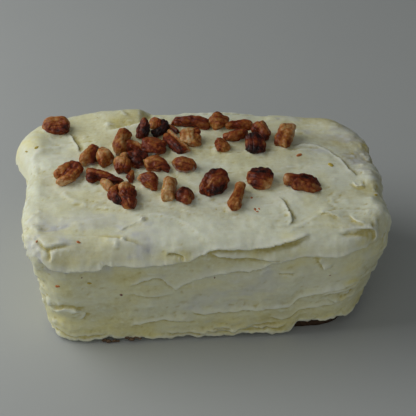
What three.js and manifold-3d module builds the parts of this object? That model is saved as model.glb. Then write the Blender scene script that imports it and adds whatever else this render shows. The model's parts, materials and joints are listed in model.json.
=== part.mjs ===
// An iced loaf of carrot cake: a sponge block under a coat of cream-cheese icing spread with a
// palette knife, with chopped pecans scattered over the top. Millimetres, +Z up, front towards -Y.
// The origin is on the underside, below the middle of the loaf.
import * as THREE from 'three';
import { mergeVertices } from 'three/addons/utils/BufferGeometryUtils.js';
import Module from 'manifold-3d';

// Driving dimensions of the iced loaf.
const HALF_LENGTH = 63;
const HALF_DEPTH = 40;
const HEIGHT = 46;
const EDGE = 6.5; // how far the top rolls over into the sides
const CORNERS = [
  { x: -1, y: -1, radius: 13 },
  { x: 1, y: -1, radius: 21 },
  { x: -1, y: 1, radius: 22 },
  { x: 1, y: 1, radius: 24 },
];
const FOOT_IN_LEFT = 7.5; // how far the left end draws in at the bottom
const FOOT_IN_RIGHT = 6.5;
const FOOT_IN_DEPTH = 3.4;
const BACK_IN = 2; // how far the back draws in towards the right end
const DOME = 1.2; // rise of the middle of the top
const SHOULDER = 4; // fall of the back right corner
const BACK_RISE = 3.6; // extra height of the swipe that ends left of the middle of the back

// The coat and what it covers.
const COAT = 4.2; // thickness of the icing
const GAP = 0.3; // clearance between separate pieces
const RIM = 1; // height of the icing's lower edge over the surface below
const BED = 0.9; // how deep a pecan is pressed into the icing
const SAG = 0.35; // share of its rise by which a lip on the side sags

// Steps of the faceted faces along x, y and z.
const ICING_STEPS = [39, 24, 13];
const SPONGE_STEPS = [12, 8, 3];

const ICING_COLOUR = 0xe9e7cf;
const SPONGE_COLOUR = 0x6b4526;
const PECAN_COLOURS = { dark: 0x4a2618, red: 0x7a3a1e, caramel: 0xa5683a, pale: 0xc09a6c };

// Knife strokes. Each leaves a lip along its path, given in x, y, z: steep on the right-hand side
// of the path as seen from outside, gentle on the left-hand side.
const STROKES = [
  // the coat of the top folded down over the front edge, and the same fold rising to the right
  {
    path: [[-57, -37.5, 41.5], [-52, -39.5, 40], [-45, -39.5, 39], [-35.5, -39.5, 40.5],
      [-24.5, -39.5, 40], [-7, -39.5, 40]],
    rise: 2.4, steep: 1.6, gentle: 7,
  },
  {
    path: [[-9, -39.5, 39.7], [-2, -39, 42.5], [2, -38.5, 43.5], [21.5, -38.5, 44],
      [27.5, -37.5, 45], [35, -35.5, 46]],
    rise: 2, steep: 1.6, gentle: 6,
  },
  // the layer under it, which runs down to a drip and from there up to the right
  {
    path: [[-28, -39, 28], [-23.5, -39, 30.5], [-17.5, -39, 32.5], [-14.5, -39, 30.5],
      [-11.3, -39, 25]],
    rise: 1.3, steep: 1.6, gentle: 4,
  },
  {
    path: [[-11.3, -38.5, 25], [-5, -39, 30.5], [4, -39.5, 34], [14, -39.5, 34.5],
      [23.5, -39.5, 38.5], [42.5, -39.5, 40], [52, -37, 40], [55.5, -34.5, 40]],
    rise: 1.7, steep: 1.6, gentle: 5,
  },
  {
    path: [[-0.5, -39, 42.5], [6.5, -39.5, 40.5], [15.5, -39.5, 40.5], [26.5, -39.5, 39.5]],
    rise: 0.7, steep: 1.1, gentle: 3,
  },
  // the knife's turn at the front right corner, and the knob under it
  {
    path: [[46, -34.5, 46.2], [52.5, -33, 45.5], [57, -33, 41.5], [55.5, -34.5, 39.5]],
    rise: 1.4, steep: 1.6, gentle: 4,
  },
  { path: [[38, -39.5, 38], [38.5, -39.5, 34.5], [40.5, -39, 31]], rise: 1.3, steep: 1.6, gentle: 3 },
  // terraces low on the front
  {
    path: [[-6.5, -37.5, 13], [11, -38, 14], [29.5, -38, 16], [44, -38, 20.5], [51, -35, 20.5]],
    rise: 1.2, steep: 1.8, gentle: 5,
  },
  { path: [[39, -38, 15.5], [46.5, -37, 18.5], [53.5, -32.5, 19]], rise: 0.8, steep: 1.2, gentle: 3 },
  { path: [[40.5, -37.5, 13.5], [46, -36.5, 12.5], [53, -32, 13]], rise: 1.4, steep: 1.5, gentle: 3 },
  {
    path: [[-42.5, -38, 15.5], [-46.5, -38, 17], [-50.5, -37, 16.5], [-54.5, -34, 13]],
    rise: 0.8, steep: 1.1, gentle: 3.5,
  },
  { path: [[-28, -37, 6.5], [-15, -37.5, 10.5], [-3, -37.5, 9]], rise: 0.5, steep: 1.4, gentle: 4 },
  // edges of the swipes over the top
  { path: [[-43.5, 12, 47], [-45.5, 18.5, 47], [-48, 24, 47]], rise: 1, steep: 1.2, gentle: 7 },
  {
    path: [[54.5, -6, 46.5], [50, 2.5, 46], [43, 13, 45.5], [38.5, 14, 45.5], [32.5, 12.5, 46]],
    rise: 1.1, steep: 1.3, gentle: 6,
  },
  {
    path: [[27.5, -32, 46.5], [28.5, -29.5, 46.5], [27, -20.5, 46.5], [25, -15.5, 47]],
    rise: 0.9, steep: 1.2, gentle: 6,
  },
  {
    path: [[-17.5, 38, 45], [-18.5, 31, 48], [-24, 26, 48.5], [-34, 24, 48.6]],
    rise: -0.9, steep: 5, gentle: 1.1,
  },
  // the creases at the two front corners
  {
    path: [[-58, -32, 45.5], [-56, -35.5, 45], [-53.5, -37, 44.5], [-44, -36.5, 45.5]],
    rise: -0.8, steep: 1.2, gentle: 1.2,
  },
  { path: [[44, -36, 45.6], [52, -35, 44.5], [55, -34.2, 42.6]], rise: -0.9, steep: 1.3, gentle: 1.3 },
];

// Lumps and hollows: centre, radius and height of each.
const LUMPS = [
  { at: [-62, 19, 42], radius: 8.5, rise: 4.2 },
  { at: [-58, 29, 44.5], radius: 6, rise: 1.6 },
  { at: [-62, 7, 42], radius: 5, rise: -1.2 },
  { at: [-62.5, -14, 42], radius: 7, rise: 1.2 },
  { at: [-58, -35, 40], radius: 6, rise: 0.8 },
  { at: [-60, -33, 27], radius: 10, rise: -1.4 },
  { at: [-56, -8, 46], radius: 9, rise: -0.5 },
  { at: [62, 0, 42], radius: 9, rise: 1.6 },
  { at: [61, 12, 43], radius: 7, rise: 0.8 },
  { at: [60.5, -25, 33], radius: 9, rise: 2.2 },
  { at: [60, -24, 43], radius: 5, rise: 1.2 },
  { at: [50, -34, 24], radius: 9, rise: 0.9 },
  { at: [-47, -38, 24], radius: 10, rise: 0.8 },
  { at: [22, -39, 27], radius: 11, rise: 0.9 },
  { at: [-20, -38, 18], radius: 9, rise: 0.6 },
  { at: [38, -12, 47], radius: 12, rise: 0.6 },
];

// Long seeded swipes round the sides, where nothing above says otherwise.
const SWIPE_SEED = 7;
const SWIPE_LEVELS = [0.72, 0.42, 0.1, -0.25, -0.6, -0.85];
const FRONT_SHARE = 0.1; // how much of their rise is left on the front
const END_SHARE = 0.6; // and on the ends

// The gap under the icing at the front right corner, and the ragged lower edge.
const RIM_GAP = { from: 28, to: 62, rise: 4.6, ramp: 4, fade: 9 };
const RAGGED = 0.7;

// Shapes that the chopped pecans come in. Square bends the round towards a block, waist narrows
// the middle, club narrows the far end, groove runs along the top, and cut slices off the ends.
const FORMS = {
  lobe: { square: 0.95, waist: 0.12, club: 0.1, groove: 0.16, lump: 0.05, cut: 1 },
  block: { square: 0.55, waist: 0, club: 0.08, groove: 0.06, lump: 0.05, cut: 0.8 },
  dumbbell: { square: 0.85, waist: 0.34, club: 0.05, groove: 0.05, lump: 0.03, cut: 1 },
  club: { square: 0.85, waist: 0.1, club: 0.45, groove: 0.12, lump: 0.06, cut: 0.9 },
  sliver: { square: 1.15, waist: 0, club: 0.05, groove: 0.2, lump: 0.04, cut: 1 },
  shard: { square: 0.7, waist: 0, club: 0.5, groove: 0, lump: 0.07, cut: 0.75 },
  chunk: { square: 0.75, waist: 0.15, club: 0.05, groove: 0.14, lump: 0.11, cut: 0.9 },
};

// The pecans: place of the middle, length, width, height, turn in degrees, form and roast.
const PECANS = [
  [-51.7, 24.7, 9.8, 7.2, 6.6, 28, 'block', 'caramel'],
  [-47, -1.5, 12, 8.6, 4.8, 50, 'lobe', 'red'],
  [-39.2, 8.7, 9.9, 6, 4.3, 58, 'club', 'caramel'],
  [-34.5, 7.1, 8.9, 5.8, 5.2, 120, 'lobe', 'caramel'],
  [-28.9, 14.9, 11.5, 5.6, 5.5, 70, 'dumbbell', 'caramel'],
  [-35.4, -4.8, 12.1, 6.8, 4, -22, 'club', 'red'],
  [-33.6, -8.1, 5.5, 3.6, 3, -60, 'shard', 'pale'],
  [-30.7, -14.4, 7.6, 5, 3.8, 104, 'shard', 'red'],
  [-26.6, -15.8, 11, 6.6, 4.9, 100, 'chunk', 'caramel'],
  [-28, 2.1, 8.7, 6.3, 4.7, 68, 'shard', 'caramel'],
  [-24.3, 13, 6.3, 5.5, 3.4, 0, 'chunk', 'red'],
  [-23.5, 5.3, 8.1, 7.4, 4.4, -10, 'chunk', 'dark'],
  [-20.1, 20.6, 7.5, 5.2, 5.8, 88, 'shard', 'dark'],
  [-15.5, 27.1, 5.8, 5.4, 3.7, 54, 'block', 'red'],
  [-13.6, 23.6, 10, 4.6, 3.5, 54, 'chunk', 'dark'],
  [-17.1, 11.8, 8.6, 8, 5.3, 6, 'block', 'red'],
  [-9.1, 13.7, 14.2, 6.2, 3.6, -66, 'sliver', 'red'],
  [-3.4, 15.9, 8.1, 6.9, 5, 94, 'block', 'pale'],
  [-2.4, 26.7, 13.8, 4.9, 4.5, -10, 'sliver', 'dark'],
  [7.4, 26.1, 7, 6.4, 4.9, -46, 'shard', 'caramel'],
  [14.3, 25.2, 10, 4.8, 3.4, -4, 'club', 'red'],
  [13.4, 17.9, 9.5, 4.7, 3.8, 20, 'lobe', 'red'],
  [7.7, 12.5, 5.6, 5.2, 3.6, 20, 'chunk', 'pale'],
  [22.8, 20.1, 8.2, 6.3, 5.8, 130, 'lobe', 'caramel'],
  [19.1, 10.9, 8.2, 6.9, 4.9, 120, 'block', 'dark'],
  [30.9, 17.5, 11.1, 6.4, 5.6, 70, 'block', 'pale'],
  [-16.6, 1.7, 10.2, 5.7, 4.3, -10, 'lobe', 'caramel'],
  [-6.6, 0.8, 9.6, 5.7, 4.6, -6, 'lobe', 'caramel'],
  [-19.1, -7.6, 7.6, 7, 4.5, 4, 'lobe', 'caramel'],
  [-25.4, -4.2, 4.7, 4.3, 3.3, 60, 'shard', 'pale'],
  [-12.4, -12.9, 12, 5.1, 4.7, 82, 'dumbbell', 'pale'],
  [-7.1, -15.8, 7.3, 6.1, 4.1, -44, 'chunk', 'dark'],
  [3.5, -11.1, 11.5, 9.2, 5.6, 74, 'chunk', 'dark'],
  [10.8, -18.1, 12.2, 5.1, 4.6, 68, 'dumbbell', 'caramel'],
  [20.1, -8.6, 9, 8.6, 5, 4, 'chunk', 'red'],
  [34.2, -11.7, 13.4, 7.1, 5.2, -12, 'chunk', 'dark'],
  [-9, 23.9, 5.8, 3.2, 2.8, -60, 'chunk', 'dark'],
];
const FINE_FROM = 10; // pecans longer than this are faceted more finely
const PECAN_SEED = 100;

const wasm = await Module();
wasm.setup();

const { clamp, degToRad } = THREE.MathUtils;
const smooth = (x, from, to) => THREE.MathUtils.smoothstep(x, from, to);

/** A repeatable stream of numbers in 0..1. */
function seeded(seed) {
  let state = seed >>> 0;
  return () => {
    state = (state + 0x6d2b79f5) >>> 0;
    let mixed = Math.imul(state ^ (state >>> 15), state | 1);
    mixed ^= mixed + Math.imul(mixed ^ (mixed >>> 7), mixed | 61);
    return ((mixed ^ (mixed >>> 14)) >>> 0) / 4294967296;
  };
}

/** Maps a point of the unit square so that its outer two sides become a quarter circle. */
function roundSquare(u, v) {
  return [u * Math.sqrt(1 - (v * v) / 2), v * Math.sqrt(1 - (u * u) / 2)];
}

/** Distance to the outline and the outline's normal at a point of the rounded plan. */
function planPoint(s, t, halfLength, halfDepth, inset) {
  const point = { x: s * halfLength, y: t * halfDepth };
  const toEnd = halfLength - Math.abs(point.x);
  const toSide = halfDepth - Math.abs(point.y);
  point.inward = Math.min(toEnd, toSide);
  point.nx = toEnd < toSide ? Math.sign(point.x) : 0;
  point.ny = toEnd < toSide ? 0 : Math.sign(point.y);
  for (const corner of CORNERS) {
    const radius = corner.radius - inset;
    const u = (corner.x * s * halfLength - (halfLength - radius)) / radius;
    const v = (corner.y * t * halfDepth - (halfDepth - radius)) / radius;
    if (u <= 0 || v <= 0) continue;
    const [ru, rv] = roundSquare(u, v);
    const out = Math.hypot(ru, rv);
    point.x = corner.x * (halfLength - radius + radius * ru);
    point.y = corner.y * (halfDepth - radius + radius * rv);
    point.inward = radius * (1 - out);
    point.nx = (corner.x * ru) / out;
    point.ny = (corner.y * rv) / out;
  }
  return point;
}

/** How far the loaf's top stands above or below its plain height at a place in plan. */
function topOffset(x, y) {
  const dome = DOME * (1 - (x / HALF_LENGTH) ** 2) * (1 - (y / HALF_DEPTH) ** 2);
  const shoulder = SHOULDER * clamp((x - 8) / 50, 0, 1) * clamp(y / 34, 0, 1);
  const alongBack = smooth(-x, 16, 22) * (1 - 0.85 * smooth(-x, 26, 54));
  return dome + BACK_RISE * smooth(y, 5, 36) * alongBack - shoulder;
}

/** The loaf's smooth form: a point of the cube [-1, 1]^3 placed on it, inset by a thickness. */
function loafPoint(s, t, w, inset = 0) {
  const halfLength = HALF_LENGTH - inset;
  const halfDepth = HALF_DEPTH - inset;
  const height = HEIGHT - inset;
  const point = planPoint(s, t, halfLength, halfDepth, inset);
  let down = (height * (1 - w)) / 2;
  const u = clamp(1 - point.inward / EDGE, 0, 1);
  const v = clamp(1 - down / EDGE, 0, 1);
  if (u > 0 && v > 0) {
    const [ru, rv] = roundSquare(u, v);
    const shift = EDGE * (1 - ru) - point.inward;
    point.x -= point.nx * shift;
    point.y -= point.ny * shift;
    down = EDGE * (1 - rv);
  }
  const level = 1 - down / height;
  const draw = (1 - level) ** 1.2;
  const foot = point.x < 0 ? FOOT_IN_LEFT : FOOT_IN_RIGHT;
  const x = point.x * (1 - (foot / halfLength) * draw);
  let y = point.y * (1 - (FOOT_IN_DEPTH / halfDepth) * draw);
  if (y > 0) y -= ((y / HALF_DEPTH) * BACK_IN * (x / HALF_LENGTH + 1)) / 2;
  const z = height - down + topOffset(x, y) * level ** 1.5;
  return new THREE.Vector3(x, y, z);
}

/** A point of the loaf's side, by its way round (0..4, from the front left corner) and height. */
function sidePoint(way, w) {
  const side = Math.floor(way) % 4;
  const along = 2 * (way % 1) - 1;
  const st = [[along, -1], [1, along], [-along, 1], [-1, -along]][side];
  return loafPoint(st[0], st[1], w);
}

/** The seeded swipes: nearly level paths round the sides. */
function sideSwipes() {
  const random = seeded(SWIPE_SEED);
  const swipes = [];
  for (const level of SWIPE_LEVELS) {
    let start = 0.3 * random();
    while (start < 4) {
      const span = 0.35 + 0.5 * random();
      const height = level + 0.14 * (random() - 0.5);
      const slope = 0.16 * (random() - 0.5);
      const side = Math.floor(start + span / 2) % 4;
      const rise = (0.5 + 0.9 * random()) * [FRONT_SHARE, END_SHARE, 1, END_SHARE][side];
      const path = [0, 0.25, 0.5, 0.75, 1].map((part) => sidePoint(
        (start + span * part) % 4,
        height + slope * (part - 0.5) + 0.05 * (random() - 0.5),
      ).toArray());
      swipes.push({ path, rise, steep: 1.3, gentle: 3 + 2.5 * random() });
      start += span * (0.75 + 0.4 * random());
    }
  }
  return swipes;
}

/** Lip left by one stroke at a point of the surface with the given outward normal. */
function strokeRise(stroke, point, normal) {
  const nearest = new THREE.Vector3();
  const tangent = new THREE.Vector3();
  let distance = Infinity;
  let along = 0;
  let across = 1;
  const count = stroke.points.length - 1;
  for (let i = 0; i < count; i += 1) {
    const a = stroke.points[i];
    tangent.subVectors(stroke.points[i + 1], a);
    const part = clamp(nearest.subVectors(point, a).dot(tangent) / tangent.lengthSq(), 0, 1);
    nearest.copy(a).addScaledVector(tangent, part);
    const away = nearest.distanceTo(point);
    if (away < distance) {
      distance = away;
      along = (i + part) / count;
      across = nearest.subVectors(point, nearest).dot(tangent.cross(normal));
    }
  }
  const reach = across > 0 ? stroke.steep : stroke.gentle;
  const fade = smooth(along, 0, 0.14) * smooth(1 - along, 0, 0.14);
  return stroke.rise * fade * Math.exp(-((distance / reach) ** 2));
}

/** Height of the icing's relief over the smooth form. */
function relief(point, normal, strokes) {
  let height = 0;
  for (const stroke of strokes) height += strokeRise(stroke, point, normal);
  for (const lump of LUMPS) {
    const away = point.distanceTo(new THREE.Vector3(...lump.at));
    height += lump.rise * Math.exp(-((away / lump.radius) ** 2));
  }
  const wave = Math.sin(point.x * 0.31 + 1.3) * Math.sin(point.y * 0.27 + point.z * 0.33);
  return height + 0.22 * wave;
}

/** Height of the icing's ragged lower edge at a place in plan. */
function rimHeight(x, y) {
  const opening = smooth(x, RIM_GAP.from, RIM_GAP.from + RIM_GAP.ramp);
  const gap = RIM_GAP.rise * opening * smooth(RIM_GAP.to - x, 0, RIM_GAP.fade);
  const ragged = Math.sin(x * 0.9 + 2 * Math.sin(y * 0.5)) * Math.sin(y * 0.8 + 1 + x * 0.23);
  return RIM + RAGGED * (1 + ragged) * 0.5 + (y < 0 ? gap : 0);
}

/** A box whose faces are split into steps, shaped by a function of its cube coordinates. */
function shapedBox(steps, shape) {
  const box = new THREE.BoxGeometry(2, 2, 2, ...steps);
  box.deleteAttribute('normal');
  box.deleteAttribute('uv');
  const geometry = mergeVertices(box, 1e-4);
  const position = geometry.getAttribute('position');
  for (let i = 0; i < position.count; i += 1) {
    position.setXYZ(i, ...shape(position.getX(i), position.getY(i), position.getZ(i)).toArray());
  }
  geometry.computeVertexNormals();
  return geometry;
}

/** The icing's outside, with its relief, down to the ragged lower edge. */
function icingForm() {
  const strokes = [...STROKES, ...sideSwipes()];
  for (const stroke of strokes) {
    const curve = new THREE.CatmullRomCurve3(stroke.path.map((p) => new THREE.Vector3(...p)));
    stroke.points = curve.getPoints(3 * (stroke.path.length - 1));
  }
  const geometry = shapedBox(ICING_STEPS, (s, t, w) => loafPoint(s, t, w));
  const position = geometry.getAttribute('position');
  const normals = geometry.getAttribute('normal');
  const point = new THREE.Vector3();
  const normal = new THREE.Vector3();
  for (let i = 0; i < position.count; i += 1) {
    point.fromBufferAttribute(position, i);
    normal.fromBufferAttribute(normals, i);
    normal.z = Math.max(normal.z, 0);
    const onSkin = normal.length() > 0.3 ? 1 : 0; // not on the underside
    normal.normalize();
    const onSide = 1 - normal.z;
    const rise = relief(point, normal, strokes) * onSkin;
    point.addScaledVector(normal, rise);
    point.z -= SAG * Math.max(rise, 0) * onSide;
    const rim = rimHeight(point.x, point.y);
    point.z = rim + (Math.max(point.z, 0) * (HEIGHT - rim)) / HEIGHT;
    position.setXYZ(i, ...point.toArray());
  }
  return geometry;
}

/** The sponge's outside, or with room left round it. */
function spongeForm(room = 0) {
  return shapedBox(SPONGE_STEPS, (s, t, w) => {
    const point = loafPoint(s, t, w, COAT - room);
    if (w === -1) point.z = room > 0 ? -COAT : 0;
    return point;
  });
}

function solidOf(geometry) {
  return new wasm.Manifold(new wasm.Mesh({
    numProp: 3,
    vertProperties: Float32Array.from(geometry.getAttribute('position').array),
    triVerts: Uint32Array.from(geometry.getIndex().array),
  }));
}

function geometryOf(solid) {
  const mesh = solid.getMesh();
  const geometry = new THREE.BufferGeometry();
  geometry.setAttribute('position', new THREE.BufferAttribute(mesh.vertProperties, 3));
  geometry.setIndex(new THREE.BufferAttribute(mesh.triVerts, 1));
  geometry.computeVertexNormals();
  return geometry;
}

/** A chopped pecan about its own middle, lying along x, with room left round it if asked. */
function pecanForm([, , length, width, height, , formName], index, room = 0) {
  const form = FORMS[formName];
  const random = seeded(PECAN_SEED + index);
  const phases = [0, 1, 2, 3].map(() => 2 * Math.PI * random());
  const tilt = 0.8 * (random() - 0.5);
  const sphere = new THREE.IcosahedronGeometry(1, length > FINE_FROM ? 2 : 1);
  sphere.deleteAttribute('normal');
  sphere.deleteAttribute('uv');
  const geometry = mergeVertices(sphere, 1e-4);
  const position = geometry.getAttribute('position');
  const rounded = (value) => Math.sign(value) * Math.abs(value) ** form.square;
  for (let i = 0; i < position.count; i += 1) {
    let x = rounded(position.getX(i));
    let y = rounded(position.getY(i));
    let z = rounded(position.getZ(i));
    x = clamp(x, tilt * y - form.cut, form.cut - tilt * z);
    const waist = 1 - form.waist * Math.exp(-((x / 0.45) ** 2));
    const club = 1 - form.club * smooth(x, -0.6, 1);
    const lump = 1 + form.lump * (Math.sin(5 * x + phases[0]) * Math.sin(4 * y + phases[1])
      + Math.sin(4 * z + phases[2]) * Math.cos(3 * x + phases[3]));
    const groove = z > 0 ? form.groove * Math.exp(-((y / 0.3) ** 2)) : 0;
    y *= waist * club * lump;
    z = z * waist * club * lump - groove;
    position.setXYZ(i, x, y, z);
  }
  geometry.computeBoundingBox();
  const middle = geometry.boundingBox.getCenter(new THREE.Vector3());
  const extent = geometry.boundingBox.getSize(new THREE.Vector3());
  geometry.translate(-middle.x, -middle.y, -middle.z);
  const target = new THREE.Vector3(length, width, height + BED).addScalar(2 * room);
  geometry.scale(...target.divide(extent).toArray());
  return geometry;
}

/** Where a pecan lies: its middle stands on the top, pressed in by the bedding depth. */
function pecanPlace([x, y, , , height, turn]) {
  const level = HEIGHT + topOffset(x, y) + (height - BED) / 2;
  const place = new THREE.Matrix4().makeRotationZ(degToRad(turn));
  return place.setPosition(x, y, level);
}

function namedMesh(name, geometry, colour, roughness) {
  const material = new THREE.MeshStandardMaterial({ color: colour, roughness, metalness: 0 });
  const mesh = new THREE.Mesh(geometry, material);
  mesh.name = name;
  return mesh;
}

/** The largest body of a solid, so that no scrap is left by a cut. */
function wholeOf(solid) {
  const bodies = solid.decompose();
  return bodies.reduce((best, body) => (body.volume() > best.volume() ? body : best));
}

const cake = new THREE.Group();

const icingOutside = solidOf(icingForm());
const icing = wholeOf(icingOutside.subtract(solidOf(spongeForm(GAP))));
cake.add(namedMesh('sponge', spongeForm(), SPONGE_COLOUR, 0.9));
cake.add(namedMesh('icing', geometryOf(icing), ICING_COLOUR, 0.55));

// Each pecan is trimmed by the icing below it and by the pecans already laid.
const laid = [icingOutside.translate([0, 0, GAP])];
PECANS.forEach((pecan, index) => {
  const place = pecanPlace(pecan);
  let solid = solidOf(pecanForm(pecan, index).applyMatrix4(place));
  for (const other of laid) solid = solid.subtract(other);
  laid.push(solidOf(pecanForm(pecan, index, GAP).applyMatrix4(place)));
  const name = `pecan_${String(index + 1).padStart(2, '0')}`;
  cake.add(namedMesh(name, geometryOf(wholeOf(solid)), PECAN_COLOURS[pecan[7]], 0.45));
});

export default cake;
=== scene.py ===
"""Looks of an iced carrot cake loaf with chopped pecans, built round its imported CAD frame."""

import json
import math
from collections import namedtuple

import bmesh
import bpy
import numpy as np
from bpy.props import FloatProperty, FloatVectorProperty, IntProperty, PointerProperty
from bpy.types import Operator, Panel, PropertyGroup
from mathutils import Matrix, Vector


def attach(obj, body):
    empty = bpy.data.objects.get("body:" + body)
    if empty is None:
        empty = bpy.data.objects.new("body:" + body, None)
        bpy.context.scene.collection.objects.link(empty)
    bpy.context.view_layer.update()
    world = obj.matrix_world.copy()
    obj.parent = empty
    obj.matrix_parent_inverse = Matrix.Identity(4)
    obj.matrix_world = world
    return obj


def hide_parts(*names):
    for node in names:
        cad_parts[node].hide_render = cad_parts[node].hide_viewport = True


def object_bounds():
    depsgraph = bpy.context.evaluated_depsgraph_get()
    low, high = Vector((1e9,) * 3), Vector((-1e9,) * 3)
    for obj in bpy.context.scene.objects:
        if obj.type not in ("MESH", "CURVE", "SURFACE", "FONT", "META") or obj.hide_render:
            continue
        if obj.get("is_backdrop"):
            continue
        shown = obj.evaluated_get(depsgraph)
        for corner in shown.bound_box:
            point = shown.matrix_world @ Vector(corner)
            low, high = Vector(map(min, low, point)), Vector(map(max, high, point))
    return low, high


bl_info = {
    "name": "Iced Carrot Cake Loaf",
    "version": (1, 0, 0),
    "blender": (4, 5, 0),
    "location": "View3D > Sidebar > Cake",
    "description": "Dresses a carrot cake loaf: sponge, icing, pecans, flecks and crumbs",
    "category": "Object",
}

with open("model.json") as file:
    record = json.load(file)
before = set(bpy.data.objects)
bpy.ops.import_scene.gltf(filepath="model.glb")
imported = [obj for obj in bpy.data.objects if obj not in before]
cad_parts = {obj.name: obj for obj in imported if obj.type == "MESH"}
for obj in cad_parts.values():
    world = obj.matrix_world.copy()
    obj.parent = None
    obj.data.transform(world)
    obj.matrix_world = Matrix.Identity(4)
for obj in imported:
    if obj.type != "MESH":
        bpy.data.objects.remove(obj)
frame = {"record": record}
CAD_LOW, CAD_HIGH = (Vector(corner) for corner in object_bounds())

MM = 0.001
BODY = "root"

# The loaf's smooth form, in millimetres, as the solids have it.
HALF_LENGTH = 63.0
HALF_DEPTH = 40.0
HEIGHT = 46.0
EDGE = 6.5  # how far the top rolls over into the sides
CORNERS = ((-1, -1, 13.0), (1, -1, 21.0), (-1, 1, 22.0), (1, 1, 24.0))
FOOT_IN_LEFT = 7.5  # how far the left end draws in at the bottom
FOOT_IN_RIGHT = 6.5
FOOT_IN_DEPTH = 3.4
FOOT_POWER = 1.2  # how late on its way down the side draws in
BACK_IN = 2.0  # how far the back draws in towards the right end
DOME = 1.2  # rise of the middle of the top
SHOULDER = 4.0  # fall of the back right corner
SHOULDER_FROM, SHOULDER_SPAN, SHOULDER_DEPTH = 8, 50, 34
BACK_RISE = 3.6  # extra height of the swipe that ends left of the middle of the back
BACK_RISE_DEPTH = (5, 36)
BACK_RISE_STEP = (16, 22)
BACK_RISE_FALL = (26, 54)
BACK_RISE_LOSS = 0.85
TOP_POWER = 1.5  # how fast the form of the top is lost on the way down

# The coat: its thickness, the clearance under it, its lower edge, and the gap under the edge at
# the front right corner.
COAT = 4.2
GAP = 0.3
RIM = 1.0
RAGGED = 0.7
RIM_GAP_FROM, RIM_GAP_TO, RIM_GAP_RISE, RIM_GAP_RAMP, RIM_GAP_FADE = 28.0, 62.0, 4.6, 4.0, 9.0
SAG = 0.35  # share of its height by which a lip on the side sags

Stroke = namedtuple("Stroke", "path rise steep gentle")
Lump = namedtuple("Lump", "at radius rise")

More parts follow.
